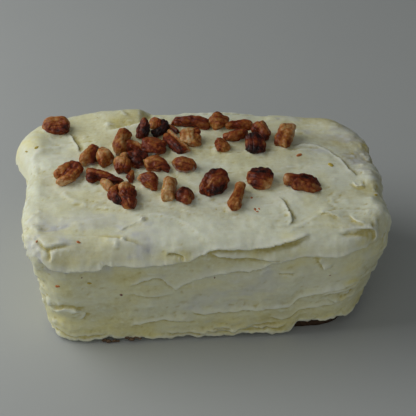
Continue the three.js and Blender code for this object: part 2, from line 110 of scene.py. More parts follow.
# Knife strokes: lips along paths in x, y, z, steep on the right-hand side of the path as seen
# from outside and gentle on the left-hand side. A negative rise is a slit or a trough.
STROKES = (
    # the coat of the top folded down over the front edge, and the same fold rising to the right
    Stroke(((-57, -37.5, 41.5), (-52, -39.5, 40), (-48, -39.5, 39), (-43.5, -39.5, 39.5),
            (-38, -39.5, 39.5), (-35.5, -39.5, 40.5), (-30.5, -39.5, 40), (-24.5, -39.5, 40),
            (-17, -39.5, 40), (-12.5, -39.5, 40.5), (-7, -39.5, 40)),
           1.8, 0.8, 2.8),
    Stroke(((-9, -39.5, 39.7), (-5.5, -39.5, 41), (-2, -39, 42.5), (2, -38.5, 43.5),
            (11, -38.5, 43.5), (21.5, -38.5, 44), (27.5, -37.5, 45), (35, -35.5, 46)),
           1.3, 0.8, 3),
    # the layer under it, which runs down to a drip and from there up to the right
    Stroke(((-28, -39, 28), (-23.5, -39, 30.5), (-17.5, -39, 32.5), (-14.5, -39, 30.5),
            (-11.3, -39, 25)),
           0.8, 0.7, 3),
    Stroke(((-11.3, -38.5, 25), (-10, -39, 28), (-5, -39, 30.5), (-0.5, -39, 32.5), (4, -39.5, 34),
            (14, -39.5, 34.5), (18.5, -39.5, 36.5), (23.5, -39.5, 38.5), (33, -39.5, 39.5),
            (42.5, -39.5, 40), (47.5, -39, 40.5), (52, -37, 40), (55.5, -34.5, 40)),
           1.0, 0.8, 3),
    Stroke(((-0.5, -39, 42.5), (2.5, -39.5, 41.5), (6.5, -39.5, 40.5), (10, -39.5, 40),
            (15.5, -39.5, 40.5), (20.5, -39.5, 39.5), (26.5, -39.5, 39.5)),
           0.6, 0.6, 2),
    # the knife's turn at the front right corner, and the knob under it
    Stroke(((46, -34.5, 46.2), (52.5, -33, 45.5), (56, -32, 44), (57, -33, 41.5),
            (55.5, -34.5, 39.5)),
           0.9, 0.8, 3),
    Stroke(((38, -39.5, 38), (38.5, -39.5, 34.5), (40.5, -39, 31)), 0.7, 1.0, 4),
    # terraces low on the front
    Stroke(((-6.5, -37.5, 13), (0.5, -38, 13.5), (11, -38, 14), (21.5, -38, 15), (29.5, -38, 16),
            (37.5, -38, 19), (44, -38, 20.5), (51, -35, 20.5)),
           0.8, 1.5, 1.8),
    Stroke(((39, -38, 15.5), (42, -38, 18), (46.5, -37, 18.5), (50, -35, 18.5), (53.5, -32.5, 19)),
           0.7, 0.7, 2),
    Stroke(((40.5, -37.5, 13.5), (46, -36.5, 12.5), (50, -34, 12.5), (53, -32, 13)), 0.9, 0.7, 2),
    Stroke(((-42.5, -38, 15.5), (-46.5, -38, 17), (-50.5, -37, 16.5), (-54.5, -34, 13)),
           0.7, 0.7, 2.5),
    Stroke(((-44.5, -37.5, 11), (-43, -38, 13.5), (-42.5, -38, 15.5)), 0.5, 0.6, 3),
    Stroke(((-28, -37, 6.5), (-24.5, -37.5, 9), (-20.5, -37.5, 10), (-15, -37.5, 10.5),
            (-8.5, -37.5, 9.5), (-3, -37.5, 9)),
           0.6, 1.3, 1.6),
    # flaps along the foot
    Stroke(((-15, -37.5, 3.4), (-8, -37.5, 2.6), (2, -37.5, 2.9), (12, -37.5, 3.2),
            (22, -37.5, 3.8), (28, -37.5, 4.8)),
           0.9, 0.8, 1.6),
    Stroke(((-57, -31, 5.5), (-51, -36, 3.6), (-43, -37.5, 2.8), (-34, -37.5, 2.4)),
           0.6, 0.8, 1.6),
    Stroke(((20, -37.5, 8.5), (30, -37.5, 9), (38, -37.5, 10.5), (46, -36.5, 11)), 0.5, 1.4, 1.8),
    Stroke(((-29, -38.5, 24.5), (-23.5, -38.5, 23.5), (-17.5, -38.5, 22.5), (-11.5, -38.5, 22.5)),
           0.4, 0.6, 2),
    # edges of the swipes over the top, along its front
    Stroke(((-31, -32, 46.5), (-28, -30, 46.5), (-25, -28, 46.5), (-22, -26.5, 46.5)),
           0.3, 0.8, 2.5),
    Stroke(((-20, -39, 43), (-25, -37, 45), (-29, -35.5, 46), (-34, -34.5, 46), (-37, -34.5, 46)),
           0.35, 0.8, 3),
    # over its right part and beside the first pecan
    Stroke(((27.5, -32, 46.5), (28.5, -29.5, 46.5), (28, -26, 46.5), (27, -20.5, 46.5),
            (25, -15.5, 47)),
           0.8, 0.6, 6),
    Stroke(((54.5, -6, 46.5), (51.5, -2.5, 46.5), (50, 2.5, 46), (47.5, 8, 46), (43, 13, 45.5),
            (38.5, 14, 45.5), (32.5, 12.5, 46)),
           0.9, 0.8, 6),
    Stroke(((-43.5, 12, 47), (-45.5, 18.5, 47), (-48, 24, 47)), 0.9, 0.6, 6),
    Stroke(((49, -26.5, 46.5), (51, -30, 46), (53.5, -31, 46)), 0.6, 0.6, 2),
    Stroke(((38, -26, 46.5), (42, -26.5, 46.5), (46.5, -29, 46.5)), 0.4, 0.6, 3),
    Stroke(((52.5, -8.5, 46.5), (53.5, -11.5, 46.5), (56.5, -11, 46)), 0.6, 0.6, 2),
    # the step at the back where the heaped part ends
    Stroke(((-17.5, 38, 45), (-18.5, 31, 48), (-24, 26, 48.5), (-34, 24, 48.6)), -0.9, 5, 0.9),
    # slits and creases
    Stroke(((-14.5, -39.5, 42), (-11.5, -39, 42.5), (-9, -39.5, 41.5), (-8.5, -39.5, 40)),
           -1.0, 0.6, 0.6),
    Stroke(((-58, -32, 45.5), (-56, -35.5, 45), (-53.5, -37, 44.5), (-49.5, -36.5, 45),
            (-44, -36.5, 45.5)),
           -0.9, 0.9, 0.9),
    Stroke(((-53.5, -36.5, 44.7), (-53, -38.5, 43), (-52.8, -39.2, 41.5)), -0.8, 0.8, 0.8),
    Stroke(((44, -36, 45.6), (48.5, -35.5, 45), (52, -35, 44.5), (55, -34.2, 42.6)),
           -0.9, 1.0, 1.0),
    Stroke(((1, -37, 3.6), (5, -37, 3.5), (8.5, -37, 3.5)), -0.9, 0.7, 0.7),
    Stroke(((12, -37, 3.5), (19, -37, 4.5), (27, -37, 6)), -0.6, 0.8, 0.8),
    Stroke(((23.5, -39, 31.5), (26.5, -39, 31.5), (29.5, -39, 31)), -0.9, 0.5, 0.5),
    Stroke(((46.5, -37, 21), (49, -36, 20.5), (52.5, -34, 19.5)), -0.9, 0.5, 0.5),
    Stroke(((20, -32, 46.5), (28, -32.5, 46.5), (37, -32.5, 46.5), (46, -33, 46), (49, -32.5, 46)),
           -0.2, 0.9, 0.9),
    Stroke(((14, -39.5, 42), (21, -39, 43), (27.5, -38, 44), (32, -36.5, 45.5)), -0.7, 2, 0.8),
)

# Lumps and hollows: centre, radius and height of each.
LUMPS = (
    Lump((-62, 19, 42), 8.5, 4.2),
    Lump((-58, 29, 44.5), 6, 1.6),
    Lump((-62, 7, 42), 5, -1.2),
    Lump((-62.5, -14, 42), 7, 1.2),
    Lump((-58, -35, 40), 6, 0.8),
    Lump((-60, -33, 27), 10, -1.4),
    Lump((-56, -8, 46), 9, -0.5),
    Lump((62, 0, 42), 9, 1.6),
    Lump((61, 12, 43), 7, 0.8),
    Lump((60.5, -25, 33), 9, 2.2),
    Lump((60, -24, 43), 5, 1.2),
    Lump((-54.5, -27.5, 46), 4, -0.6),
    Lump((-22, -26.5, 46.5), 1.2, 0.5),
    Lump((59, -8, 45.5), 2.6, 1.0),
    Lump((59.5, -15.5, 45.5), 2.2, 0.8),
    Lump((57, -20, 46), 2.0, 0.5),
    Lump((50, -34, 24), 9, 0.9),
    Lump((-47, -38, 24), 10, 0.8),
    Lump((22, -39, 27), 11, 0.9),
    Lump((-20, -38, 18), 9, 0.6),
    Lump((38, -12, 47), 12, 0.6),
    Lump((59, 9, 46), 10, -2.4),
    Lump((49, 33, 44), 7, 1.0),
    Lump((44, 24, 46), 7, -0.8),
)

# Small dabs that stand up beside the creases, with painted highlight on them.
DABS = (
    Lump((-56, -36, 40), 0.9, 0.8),
    Lump((-31, -36.5, 45), 0.9, 0.9),
    Lump((-28.5, -35, 46), 0.8, 0.7),
    Lump((-32.5, -39.5, 40), 0.9, 0.7),
    Lump((-36.5, -39.5, 40), 1.0, 0.5),
    Lump((-22, -26.5, 46.5), 0.9, 0.9),
    Lump((-9, -39.5, 40.5), 0.8, 0.7),
    Lump((-46, -38, 16.5), 1.1, 0.8),
    Lump((-55, -34.5, 17), 1.0, 0.6),
    Lump((-54, -33.5, 7), 1.1, 0.7),
    Lump((28, -26.5, 46.5), 0.9, 0.8),
    Lump((55.5, -33, 45.5), 1.1, 0.9),
    Lump((57, -30, 45.5), 1.0, 0.8),
    Lump((52.5, -33, 30), 1.0, 0.5),
    Lump((40, -39.2, 33), 1.2, 0.9),
    Lump((48, -36, 15.5), 0.9, 0.7),
    Lump((44, -37, 13.5), 0.9, 0.7),
    Lump((-1, -39.2, 42), 0.8, 0.5),
    Lump((-33, 27, 49), 1.1, 0.6),
    Lump((-14, 33, 47), 1.0, 0.6),
)

# The long seeded swipes round the sides, at these heights of the cube [-1, 1]^3 that the loaf is
# formed from. Ways round it are counted in its four sides.
SWIPE_SEED = 7
SWIPE_LEVELS = (0.72, 0.42, 0.1, -0.25, -0.6, -0.85)
SIDE_SHARES = (0.0, 0.4, 0.55, 0.4)  # how much of their rise is left: front, right, back, left
SWIPE_START = 0.3
SWIPE_SPAN = (0.15, 0.5)  # least, and what chance adds
SWIPE_STEP = (0.75, 0.4)
SWIPE_DRIFT, SWIPE_SLOPE, SWIPE_WANDER = 0.14, 0.6, 0.05
SWIPE_RISE = (0.5, 0.9)
SWIPE_STEEP = 1.1
SWIPE_GENTLE = (3, 2.5)

# The broad, low swipes that the coat was laid on with, seeded too.
Swipe = namedtuple("Swipe", "path half rise lift")
LAID_SEED = 23
LAID_SIDE_COUNT = 96
LAID_TOP_COUNT = 44
LAID_SHARES = (0.2, 0.8, 1.0, 0.8)

# How fine the meshes are.
ICING_STEPS = (180, 112, 66)
FINE_REACH = 1.1  # how far beside a lip the coat's mesh is split finer
FINE_RISE = 0.4  # from which height on a seeded lip is split finer too
SPONGE_STEPS = (96, 60, 36)
PECAN_SUBDIVISIONS = 5
FLECK_SUBDIVISIONS = 3
CRUMB_SUBDIVISIONS = 4

# The profile of a lip, as shares of its rise and widths in millimetres: a layer that falls off
# over the stroke's own widths, a curl on its edge and a hollow under it.
LIP_LAYER, LIP_CURL, LIP_HOLLOW, LIP_LEAN = 0.6, 0.4, 0.28, 0.6
LIP_STEEP = 0.45  # share of the stroke's steep width
CURL_WIDTH = 0.7
HOLLOW_AT, HOLLOW_OUT, HOLLOW_IN = 1.3, 1.1, 0.7
STROKE_TAIL = 5  # over which length a stroke fades at its ends

# The icing's edges and unevenness: heights in millimetres.
NUT_COLLAR, NUT_COLLAR_VARIES, NUT_COLLAR_WIDTH = 0.35, 0.35, 1.1
RIM_SWAY, RIM_TEETH, RIM_LIFT, RIM_LEAST = 0.8, 0.9, 0.3, 0.3
RIM_TORN_UP_TO = 8
FLARE_HEIGHT = 2.6  # up to where the lower edge is pressed out
FLARE, FLARE_VARIES = 0.45, 0.8
BENDS = (0.03, 0.14)  # bends from which painted highlight on crests and shade in creases shows
WAVE_HEIGHT = 0.22
WAVE_TURNS = (0.31, 0.27, 0.33)  # radians in a millimetre along x, y and z
WAVE_SHIFT = 1.3
TEAR_HEIGHT, TEAR_HEIGHT_AT_ENDS, TEAR_SINK = 0.22, 0.13, 0.3
END_LUMPS = 0.35
DRAG_HEIGHT = 0.04  # marks that the knife drags along the icing
DRAG_STRETCH = 0.12

# Seeds of the noises, one for each feature. A nut's own number is added to those of the nuts.
Seeds = namedtuple("Seeds", "edge edge_fine lips crumb fleck_form crumb_form pores swell drag "
                   "drag_ends drag_share drag_fine thin tear tear_fine pitted end_lumps dabbled "
                   "front pitted_wide streak streak_fine collar dab rim_sway flare rim_teeth "
                   "mask clouds butter shaded shading thin_streaks spread nut_grain nut_furrow "
                   "nut_lump nut_wrinkle nut_tone nut_smear nut_crumble")
SEED = Seeds(edge=1, edge_fine=2, lips=3, crumb=5, fleck_form=7, crumb_form=9, pores=11, swell=20,
             drag=30, drag_ends=31, drag_share=32, drag_fine=33, thin=40, tear=41, tear_fine=42,
             pitted=43, end_lumps=44, dabbled=45, front=46, pitted_wide=47, streak=61,
             streak_fine=62, collar=70, dab=71, rim_sway=80, flare=81, rim_teeth=82, mask=90,
             clouds=91, butter=92, shaded=93, shading=94, thin_streaks=95, spread=96,
             nut_grain=50, nut_furrow=90, nut_lump=130, nut_wrinkle=170, nut_tone=210,
             nut_smear=250, nut_crumble=290)

# Layers of noise: height, stretch along x, y and z, size of the lumps, octaves and seed.
Layer = namedtuple("Layer", "height stretch size octaves seed")
ALL_OVER = (
    Layer(0.14, (1, 1, 1), 9, 3, SEED.swell),
    Layer(0.09, (1, 1, 1), 1.8, 3, SEED.pitted),
    Layer(0.09, (1, 1, 1), 3.2, 2, SEED.pitted_wide),
)
ON_THE_FRONT = (
    Layer(0.3, (0.4, 1, 1), 3.6, 3, SEED.front),
    Layer(0.1, (1, 1, 0.5), 1.3, 1, SEED.dabbled),
)

# How a pecan's lobes are joined, and how the piece is cut and wrinkled, in millimetres.
LOBE_BLEND = 0.32  # how softly the lobes run into one another
LOBE_SWELL = 0.2  # how far the surface lies outside the blended lobes
LOBE_ROUNDS = 40
LOBE_LEAST = 0.2
PECAN_SEED = 100
PECAN_CUTS = 7
CUT_DEPTHS = (0.25, 1.2)
CUT_SHARE = 0.9  # how much of what stands past a cut is taken off
CUT_ALONG = 1.5  # how much more often a cut is across the piece
SKIN_ENDS = (0.4, 0.75)  # the tones between which the skin ends
TONE_REACH = 0.45
NUT_STRETCH = 0.28
NUT_LUMPS, NUT_GRAIN, NUT_WRINKLES, NUT_FURROWS, NUT_CRUMBLE = 0.14, 0.12, 0.12, 0.28, 0.06
FURROW_WIDTH = 0.22
# the skin is made darker in its furrows and lighter on its raised grain: partly its own colour,
# partly painted shade and highlight
BARE_PALER, FURROW_DARKER, GRAIN_TONE, PATCH_TONE = 0.2, 0.15, 0.12, 0.1
CLUSTER = (-22, 8)  # round here the nuts have icing smeared on their feet
CLUSTER_REACH, CLUSTER_FADE = 24, 12
SMEAR = 0.75

# Each pecan, in the order of the nodes: where it lies on the top, and the round lobes that make it
# up: x, y and z of each from there, its radius and its tone, from black (0) to cream (1). The
# tones are mostly the nut's own skin and flesh, partly painted light: higher where a highlight
# falls, lower on faces turned from the light.
Pecan = namedtuple("Pecan", "at lobes")
PECANS = (
    Pecan((-52, 26), (
        (-3, 2.1, 3.1, 1.4, 0.58), (-1.4, 2.3, 3.4, 1.5, 0.62), (0.4, 2.2, 3.6, 1.5, 0.62),
        (2.2, 2, 3.7, 1.5, 0.58), (3.6, 1.3, 3.5, 1.4, 0.46), (-3.6, 0.4, 2.2, 1.5, 0.51),
        (-1.8, 0.3, 2.3, 1.6, 0.48), (0, 0.2, 2.4, 1.6, 0.44), (1.8, 0, 2.6, 1.6, 0.38),
        (3.8, -0.4, 2.6, 1.5, 0.28), (-2.6, -1.4, 1.2, 1.6, 0.32), (-0.7, -1.9, 1.1, 1.6, 0.24),
        (1.1, -2.1, 1.2, 1.6, 0.2), (3, -1.8, 1.6, 1.5, 0.18))),
    Pecan((-47, -0.5), (
        (-3.8, -0.6, 1.5, 1.5, 0.6), (-2.3, 1.3, 1.9, 1.6, 0.6), (-0.6, 2.8, 2.2, 1.5, 0.52),
        (1.1, 3.7, 2.3, 1.5, 0.4), (2.7, 2.6, 2.4, 1.6, 0.36), (3.7, 1.2, 2, 1.4, 0.42),
        (-2.8, -4.8, 1, 1.6, 0.78), (-1.1, -4.1, 1.4, 1.7, 0.68), (0.7, -2.6, 1.7, 1.8, 0.58),
        (2.3, -0.8, 1.9, 1.6, 0.52), (-1.3, -1.1, 1.5, 1.4, 0.36), (0.5, 0.7, 1.8, 1.4, 0.34))),
    Pecan((-39.5, 9), (
        (-1.7, -1.8, 1.8, 2.1, 0.68), (-2.2, -2.7, 0.9, 1.5, 0.62), (-0.6, 0.2, 2, 1.9, 0.6),
        (0.7, 2.4, 2.1, 1.7, 0.42), (2.1, 3.3, 2.4, 1.6, 0.15), (1.9, 0.9, 1.8, 1.6, 0.12),
        (1, -1.1, 1.4, 1.6, 0.14), (0.4, -2.8, 0.9, 1.4, 0.16))),
    Pecan((-34.5, 7), (
        (0, -0.1, 2.6, 2.6, 0.62), (0.3, -2.3, 2, 2.5, 0.5), (-0.8, 2.7, 2.3, 1.8, 0.42),
        (1.3, -0.4, 1.8, 1.9, 0.46), (-1.2, 0.5, 1.5, 1.6, 0.62))),
    Pecan((-28.5, 15), (
        (-0.7, -3.2, 1.8, 2.6, 0.62), (-0.6, 0.1, 2.5, 2.5, 0.6), (0.7, 2.7, 3.2, 2.4, 0.56),
        (2.1, 3.2, 2.8, 1.9, 0.48), (-1.4, -3.6, 1, 1.9, 0.58))),
    Pecan((-34.5, -4), (
        (-4.5, 3.4, 1.6, 1.8, 0.44), (-4.8, -0.5, 1.5, 2, 0.28), (-2.7, 1.6, 1.6, 1.8, 0.4),
        (-1, 0.6, 1.5, 1.8, 0.44), (0.8, 0, 1.4, 1.6, 0.38), (2.5, -0.9, 1.2, 1.5, 0.32),
        (4.2, -1.7, 1, 1.3, 0.34), (5.8, -2.1, 0.6, 1, 0.4))),
    Pecan((-33.5, -8), (
        (-1.2, 1.6, 1.1, 1.4, 0.68), (0, 0, 1.2, 1.6, 0.66), (1, -1.5, 0.9, 1.4, 0.6))),
    Pecan((-30.5, -14.5), (
        (-0.8, 1.5, 1.9, 1.7, 0.48), (-1.4, 0.2, 1.5, 1.5, 0.42), (0.2, -1.1, 1.7, 1.9, 0.25),
        (1, -2.5, 1.3, 1.8, 0.12), (0.6, 2.9, 2.1, 1.5, 0.62))),
    Pecan((-26.5, -16), (
        (-1.2, 3.6, 3, 2, 0.68), (0.7, 4.7, 2.9, 1.7, 0.5), (-1.1, 0.3, 2.5, 2.2, 0.45),
        (1.2, 1.2, 2.4, 1.9, 0.3), (0.1, -2.9, 2, 2.3, 0.4), (1.4, -3.1, 1.4, 1.8, 0.2),
        (0.2, -3.7, 1.1, 1.6, 0.42))),
    Pecan((-28, 1.5), (
        (0.7, 4.4, 2.5, 1.5, 0.66), (-1.1, 1.3, 2.4, 2.1, 0.64), (0.7, 0.6, 2.4, 2.2, 0.5),
        (-1.5, -1.1, 1.6, 1.8, 0.4), (0.8, -1.7, 1.6, 1.8, 0.25), (-1, -2.1, 1, 1.5, 0.2))),
    Pecan((-24, 13), (
        (-1.6, 1.1, 1.8, 1.5, 0.48), (-2.2, -0.9, 1.2, 1.5, 0.51), (-0.6, -1.1, 1.2, 1.5, 0.36),
        (1, -2.2, 0.7, 1.4, 0.39), (-0.3, 2, 1.6, 1, 0.8), (0.7, 0.9, 1.3, 1.1, 0.82),
        (1.6, -0.2, 1, 1.1, 0.82), (2.4, -1, 0.6, 0.9, 0.74))),
    Pecan((-23.5, 5), (
        (-2.3, 2.1, 1.9, 1.6, 0.35), (-0.8, 2.9, 2.1, 1.6, 0.28), (1.2, 1.7, 2.3, 1.9, 0.18),
        (2.9, 0.9, 1.9, 1.7, 0.28), (0.2, -1.1, 1.8, 1.9, 0.08), (1.4, -2.5, 1.2, 1.6, 0.12),
        (-1.1, -2.3, 0.9, 1.4, 0.36))),
    Pecan((-20, 21), (
        (0.3, 3.2, 4.2, 0.8, 0.42), (0.1, 2, 3.9, 1.1, 0.34), (-0.4, 0.5, 3.5, 1.5, 0.26),
        (1, 0.8, 2.4, 1.3, 0.1), (-1.5, -1.1, 2.5, 1.4, 0.33), (0.2, -1.5, 2, 1.9, 0),
        (-2, -2.6, 0.9, 1.2, 0.36), (0.8, -1.8, 0.8, 1.5, 0))),
    Pecan((-15.5, 27.5), (
        (-1, -1.8, 1.3, 1.6, 0.6), (0, 1.2, 2, 1.6, 0.56), (1.1, 0.7, 1.8, 1.4, 0.32),
        (0.5, -1.5, 1.3, 1.6, 0.35), (-1.1, 0.6, 1.5, 1.2, 0.55))),
    Pecan((-14, 23.5), (
        (1.6, 4.1, 1.9, 1.4, 0.08), (1.7, 1.4, 1.6, 1.5, 0.06), (0.5, -0.8, 1.5, 1.7, 0.02),
        (-1.2, -2, 1.1, 1.5, 0), (-2.8, -2.1, 1, 1.3, 0))),
    Pecan((-17, 11.5), (
        (-3, 1.9, 2.8, 1.6, 0.3), (-1, 2.4, 2.8, 1.8, 0.38), (1.1, 2.4, 2.6, 1.8, 0.38),
        (2.9, 1.6, 2.2, 1.6, 0.32), (-2.9, -0.1, 2.1, 1.7, 0.34), (-0.8, -0.3, 2.3, 2.1, 0.42),
        (1.5, -0.8, 2.1, 2, 0.4), (3.1, -1, 1.5, 1.5, 0.26), (-1.2, -1.8, 1.3, 1.6, 0.26),
        (1.1, -2.2, 1.2, 1.6, 0.3))),
    Pecan((-8.5, 14.5), (
        (-4, 3.7, 1.6, 1.5, 0.3), (-2.8, 1.4, 1.7, 1.7, 0.26), (-1.6, -0.8, 1.7, 1.8, 0.2),
        (-0.2, -2.8, 1.5, 1.7, 0.2), (1.2, -4.4, 1.3, 1.6, 0.24), (2.6, -5.3, 1, 1.3, 0.3),
        (-2.1, 6.9, 1.3, 1, 0.84), (-1.3, 5.2, 1.4, 1.2, 0.86), (-0.4, 3.6, 1.4, 1.2, 0.86),
        (0.4, 1.9, 1.3, 1.3, 0.86), (1.3, 0.2, 1.2, 1.3, 0.86), (2.1, -1.3, 1.1, 1.2, 0.86),
        (2.8, -2.8, 1, 1.2, 0.84), (3.7, -4.4, 0.7, 1, 0.78))),
    Pecan((-3, 16), (
        (-2.6, 2.4, 2.5, 1.6, 0.58), (-0.4, 2.6, 2.8, 1.7, 0.64), (1.9, 3, 2.7, 1.4, 0.4),
        (-2.6, -0.2, 1.9, 1.7, 0.64), (-0.4, -0.4, 2.2, 2, 0.7), (1.8, 0.4, 2, 1.5, 0.46),
        (-1.6, -2, 1.3, 1.6, 0.68), (0.6, -2.4, 1.3, 1.7, 0.7), (2, -1.8, 1, 1.2, 0.56))),
    Pecan((-4, 27), (
        (-6.5, 2, 0.8, 0.8, 0.5), (-5.3, 1.3, 1.2, 1.2, 0.44), (-3.6, 0.8, 1.6, 1.7, 0.44),
        (-1.2, 0.4, 2, 2, 0.4), (1.3, 0.3, 2.1, 2.1, 0.32), (3.7, -0.4, 2, 2.1, 0.42),
        (5.8, -0.9, 1.8, 2, 0.44), (6.5, -1.6, 1.1, 1.5, 0.4))),
    Pecan((7.5, 26.5), (
        (-0.4, 1.8, 3, 1.9, 0.46), (-2, -0.2, 2.3, 2, 0.58), (0.2, -0.7, 2.4, 2.2, 0.46),
        (2.1, 0.8, 2, 1.5, 0.38), (-0.6, -1.8, 1.3, 1.7, 0.51), (1.8, -0.9, 1.4, 1.5, 0.31))),
    Pecan((15, 25), (
        (-4.3, -0.2, 1.6, 1.4, 0.63), (-2.7, 0.2, 1.6, 1.5, 0.35), (-0.7, 0.1, 1.5, 1.6, 0.41),
        (1.3, 0.4, 1.5, 1.7, 0.43), (2.9, 0.3, 1.4, 1.6, 0.45), (3.1, -1.5, 0.7, 1.3, 0.53))),
    Pecan((13, 18.5), (
        (-3.5, -1.2, 1.3, 1.5, 0.5), (-1.7, -1.2, 1.6, 1.9, 0.46), (0.2, -0.7, 1.7, 2, 0.44),
        (2.3, 0.5, 1.6, 1.9, 0.36), (3.6, 1.7, 0.8, 1.2, 0.32))),
    Pecan((8, 12), (
        (-1.4, 1.4, 1.8, 1.7, 0.35), (-1.6, -0.5, 1.3, 1.7, 0.38), (0.4, 1.4, 1.5, 1.5, 0.45),
        (0.3, -1, 1.2, 1.6, 0.52), (1.4, -0.6, 0.8, 1.2, 0.78))),
    Pecan((22, 19.5), (
        (-0.9, 1.6, 3.2, 2, 0.38), (1, 1.4, 3.4, 2.3, 0.52), (1.7, -0.7, 2.3, 2.1, 0.42),
        (1.2, -2.3, 1.2, 1.6, 0.26), (-1.7, 1, 2.3, 1.4, 0.33))),
    Pecan((19.5, 11.5), (
        (-1.6, 2.8, 2.9, 1.7, 0.06), (0.3, 2.9, 2.9, 1.8, 0.02), (2.1, 2.5, 2.6, 1.7, 0.1),
        (-1.8, 0.3, 2.2, 1.7, 0.34), (0.1, 0, 2.3, 1.9, 0.38), (2, 0, 2, 1.7, 0.3),
        (-1.9, -2, 1.4, 1.6, 0.08), (-0.1, -2.5, 1.4, 1.8, 0.04), (1.8, -2.3, 1.2, 1.6, 0.06))),
    Pecan((31, 16.5), (
        (-0.1, 4.6, 3.6, 1.7, 0.64), (2.3, 4.4, 3.5, 1.8, 0.68), (-0.8, 2.1, 3.2, 1.8, 0.58),
        (1.7, 1.4, 3.1, 2, 0.66), (-1.9, -0.5, 2.6, 1.8, 0.42), (0.7, -1.2, 2.6, 2, 0.58),
        (-2.4, -2.6, 2, 1.6, 0.4), (-0.2, -3.3, 1.9, 1.8, 0.5), (-1.2, -4.1, 1.3, 1.4, 0.6))),
    Pecan((-16, 1.5), (
        (-4.5, 1.7, 1.3, 1.2, 0.81), (-2.5, 0.9, 2, 1.9, 0.59), (-0.4, 1.2, 2.3, 2.1, 0.55),
        (1.7, 0.1, 2, 1.9, 0.45), (3.3, -1.5, 1.3, 1.5, 0.31), (-2.4, -0.6, 1.4, 1.6, 0.42),
        (-0.1, -1, 1.5, 1.7, 0.39), (4.2, -2.3, 0.6, 1, 0.27))),
    Pecan((-6.5, 0.5), (
        (-2.6, 1, 1.8, 2, 0.58), (-0.4, 0.8, 2.1, 2.3, 0.55), (1.8, 0.3, 1.8, 2.1, 0.55),
        (3.2, -0.5, 1.2, 1.6, 0.48), (-2, -0.6, 1.2, 1.6, 0.42), (0.7, -1, 1.1, 1.5, 0.3))),
    Pecan((-19, -7.5), (
        (-2.9, 2.2, 1.5, 1.2, 0.8), (-1, 1.2, 2, 1.8, 0.3), (0.6, 1.3, 2.3, 2, 0.46),
        (0.9, -1.5, 2, 2.2, 0.44), (-0.8, -0.7, 1.5, 1.6, 0.41), (2.2, -0.3, 1.6, 1.6, 0.32),
        (1.5, -2.5, 1, 1.4, 0.38))),
    Pecan((-25, -4), (
        (0.4, 1.5, 2.3, 0.7, 0.43), (0.2, 0.5, 1.8, 1, 0.39), (-0.1, -0.6, 1.4, 1.2, 0.27),
        (0.4, -1.4, 0.7, 1.2, 0.11), (-1.1, -0.8, 0.8, 1, 0.31))),
    Pecan((-12, -12.5), (
        (0.1, 3.3, 2.3, 2.1, 0.71), (1, 3.1, 1.7, 1.5, 0.53), (-0.2, 0.9, 2, 2.1, 0.75),
        (-0.6, -1.6, 1.8, 2.1, 0.75), (-0.9, -3.9, 1.5, 2.1, 0.71), (0.2, -3.1, 1.1, 1.5, 0.55),
        (0.7, 0.1, 1.4, 1.5, 0.59))),
    Pecan((-6.5, -16), (
        (-1.6, 1.2, 2, 1.9, 0.15), (-1.8, -0.5, 1.5, 1.7, 0.12), (-0.1, 1.2, 1.9, 1.7, 0.2),
        (0.9, -0.2, 1.7, 1.8, 0.42), (2.4, 0.1, 1.3, 1.3, 0.5), (0, -2, 1.2, 1.7, 0.4))),
    Pecan((3.5, -11), (
        (-4.3, -3.3, 1.2, 1.6, 0.12), (-3, -3.8, 0.9, 1.5, 0.18), (-3.7, -0.9, 1.8, 1.5, 0.28),
        (-2.5, 1.1, 2.3, 1.5, 0.33), (-1.6, 2.9, 2.9, 1.5, 0.08), (0.1, 4.2, 3.4, 1.6, 0.06),
        (2, 4.6, 3.4, 1.6, 0.08), (3.3, 3.4, 3, 1.5, 0.18), (3.8, 1.2, 2.5, 1.5, 0.43),
        (3.3, -1, 1.8, 1.5, 0.28), (1.8, -2.4, 1.5, 1.5, 0.08), (-0.3, -2.8, 1.3, 1.5, 0.06),
        (-1.9, -2.1, 1.4, 1.4, 0.6), (-0.4, -0.6, 2.3, 1.9, 0.54), (1.6, 0.6, 2.8, 2, 0.48),
        (-0.3, 1.6, 2.8, 1.8, 0.33))),
    Pecan((11, -18), (
        (1.5, 4.8, 2.3, 1.9, 0.6), (1.2, 3.1, 2, 1.8, 0.58), (0.6, 1.4, 1.8, 1.8, 0.56),
        (-0.3, -0.3, 1.7, 1.8, 0.56), (-1, -2, 1.6, 2, 0.58), (-1.6, -3.8, 1.6, 2.2, 0.6),
        (-0.8, -3.7, 1.2, 1.7, 0.5))),
    Pecan((20, -8.5), (
        (-3.5, 1.1, 2.3, 1.6, 0.42), (-1.8, 2.6, 2.7, 1.6, 0.12), (0.1, 2.7, 2.9, 1.7, 0.04),
        (2, 2.3, 2.7, 1.6, 0.04), (2.9, 0.9, 2.2, 1.6, 0.32), (2.9, -1.1, 1.6, 1.6, 0.74),
        (1.6, -2.4, 1.1, 1.5, 0.76), (0.7, -0.8, 2.2, 2, 0.24), (-1.4, -0.4, 2.2, 2, 0.08),
        (-3.3, -0.7, 1.7, 1.5, 0.58), (-1.7, -2.3, 1.1, 1.5, 0.08), (-0.1, -2.6, 1.1, 1.6, 0.53))),
    Pecan((35, -11.5), (
        (-5.9, 1.5, 2.6, 2, 0.66), (-4.3, 1.1, 2.6, 2.1, 0.3), (-2.5, 0.4, 2.3, 2.1, 0.38),
        (-0.6, 1.4, 2.4, 1.9, 0.18), (-0.6, -1, 1.7, 1.8, 0.48), (1.4, 0.6, 2.1, 1.9, 0.12),
        (1.4, -1.8, 1.4, 1.8, 0.44), (3.3, 0.3, 1.9, 1.8, 0.08), (4.6, 0, 1.6, 1.6, 0.12),
        (4.4, -1.8, 1.1, 1.6, 0.3), (2.9, -2.2, 1.1, 1.7, 0.5), (-2.9, -1.2, 1.4, 1.6, 0.45))),
    Pecan((-9, 24), (
        (-1.5, 1.3, 0.9, 1, 0.52), (0.1, -0.1, 1.1, 1.3, 0.28), (0.7, -1.7, 0.8, 1.1, 0.3))),
)

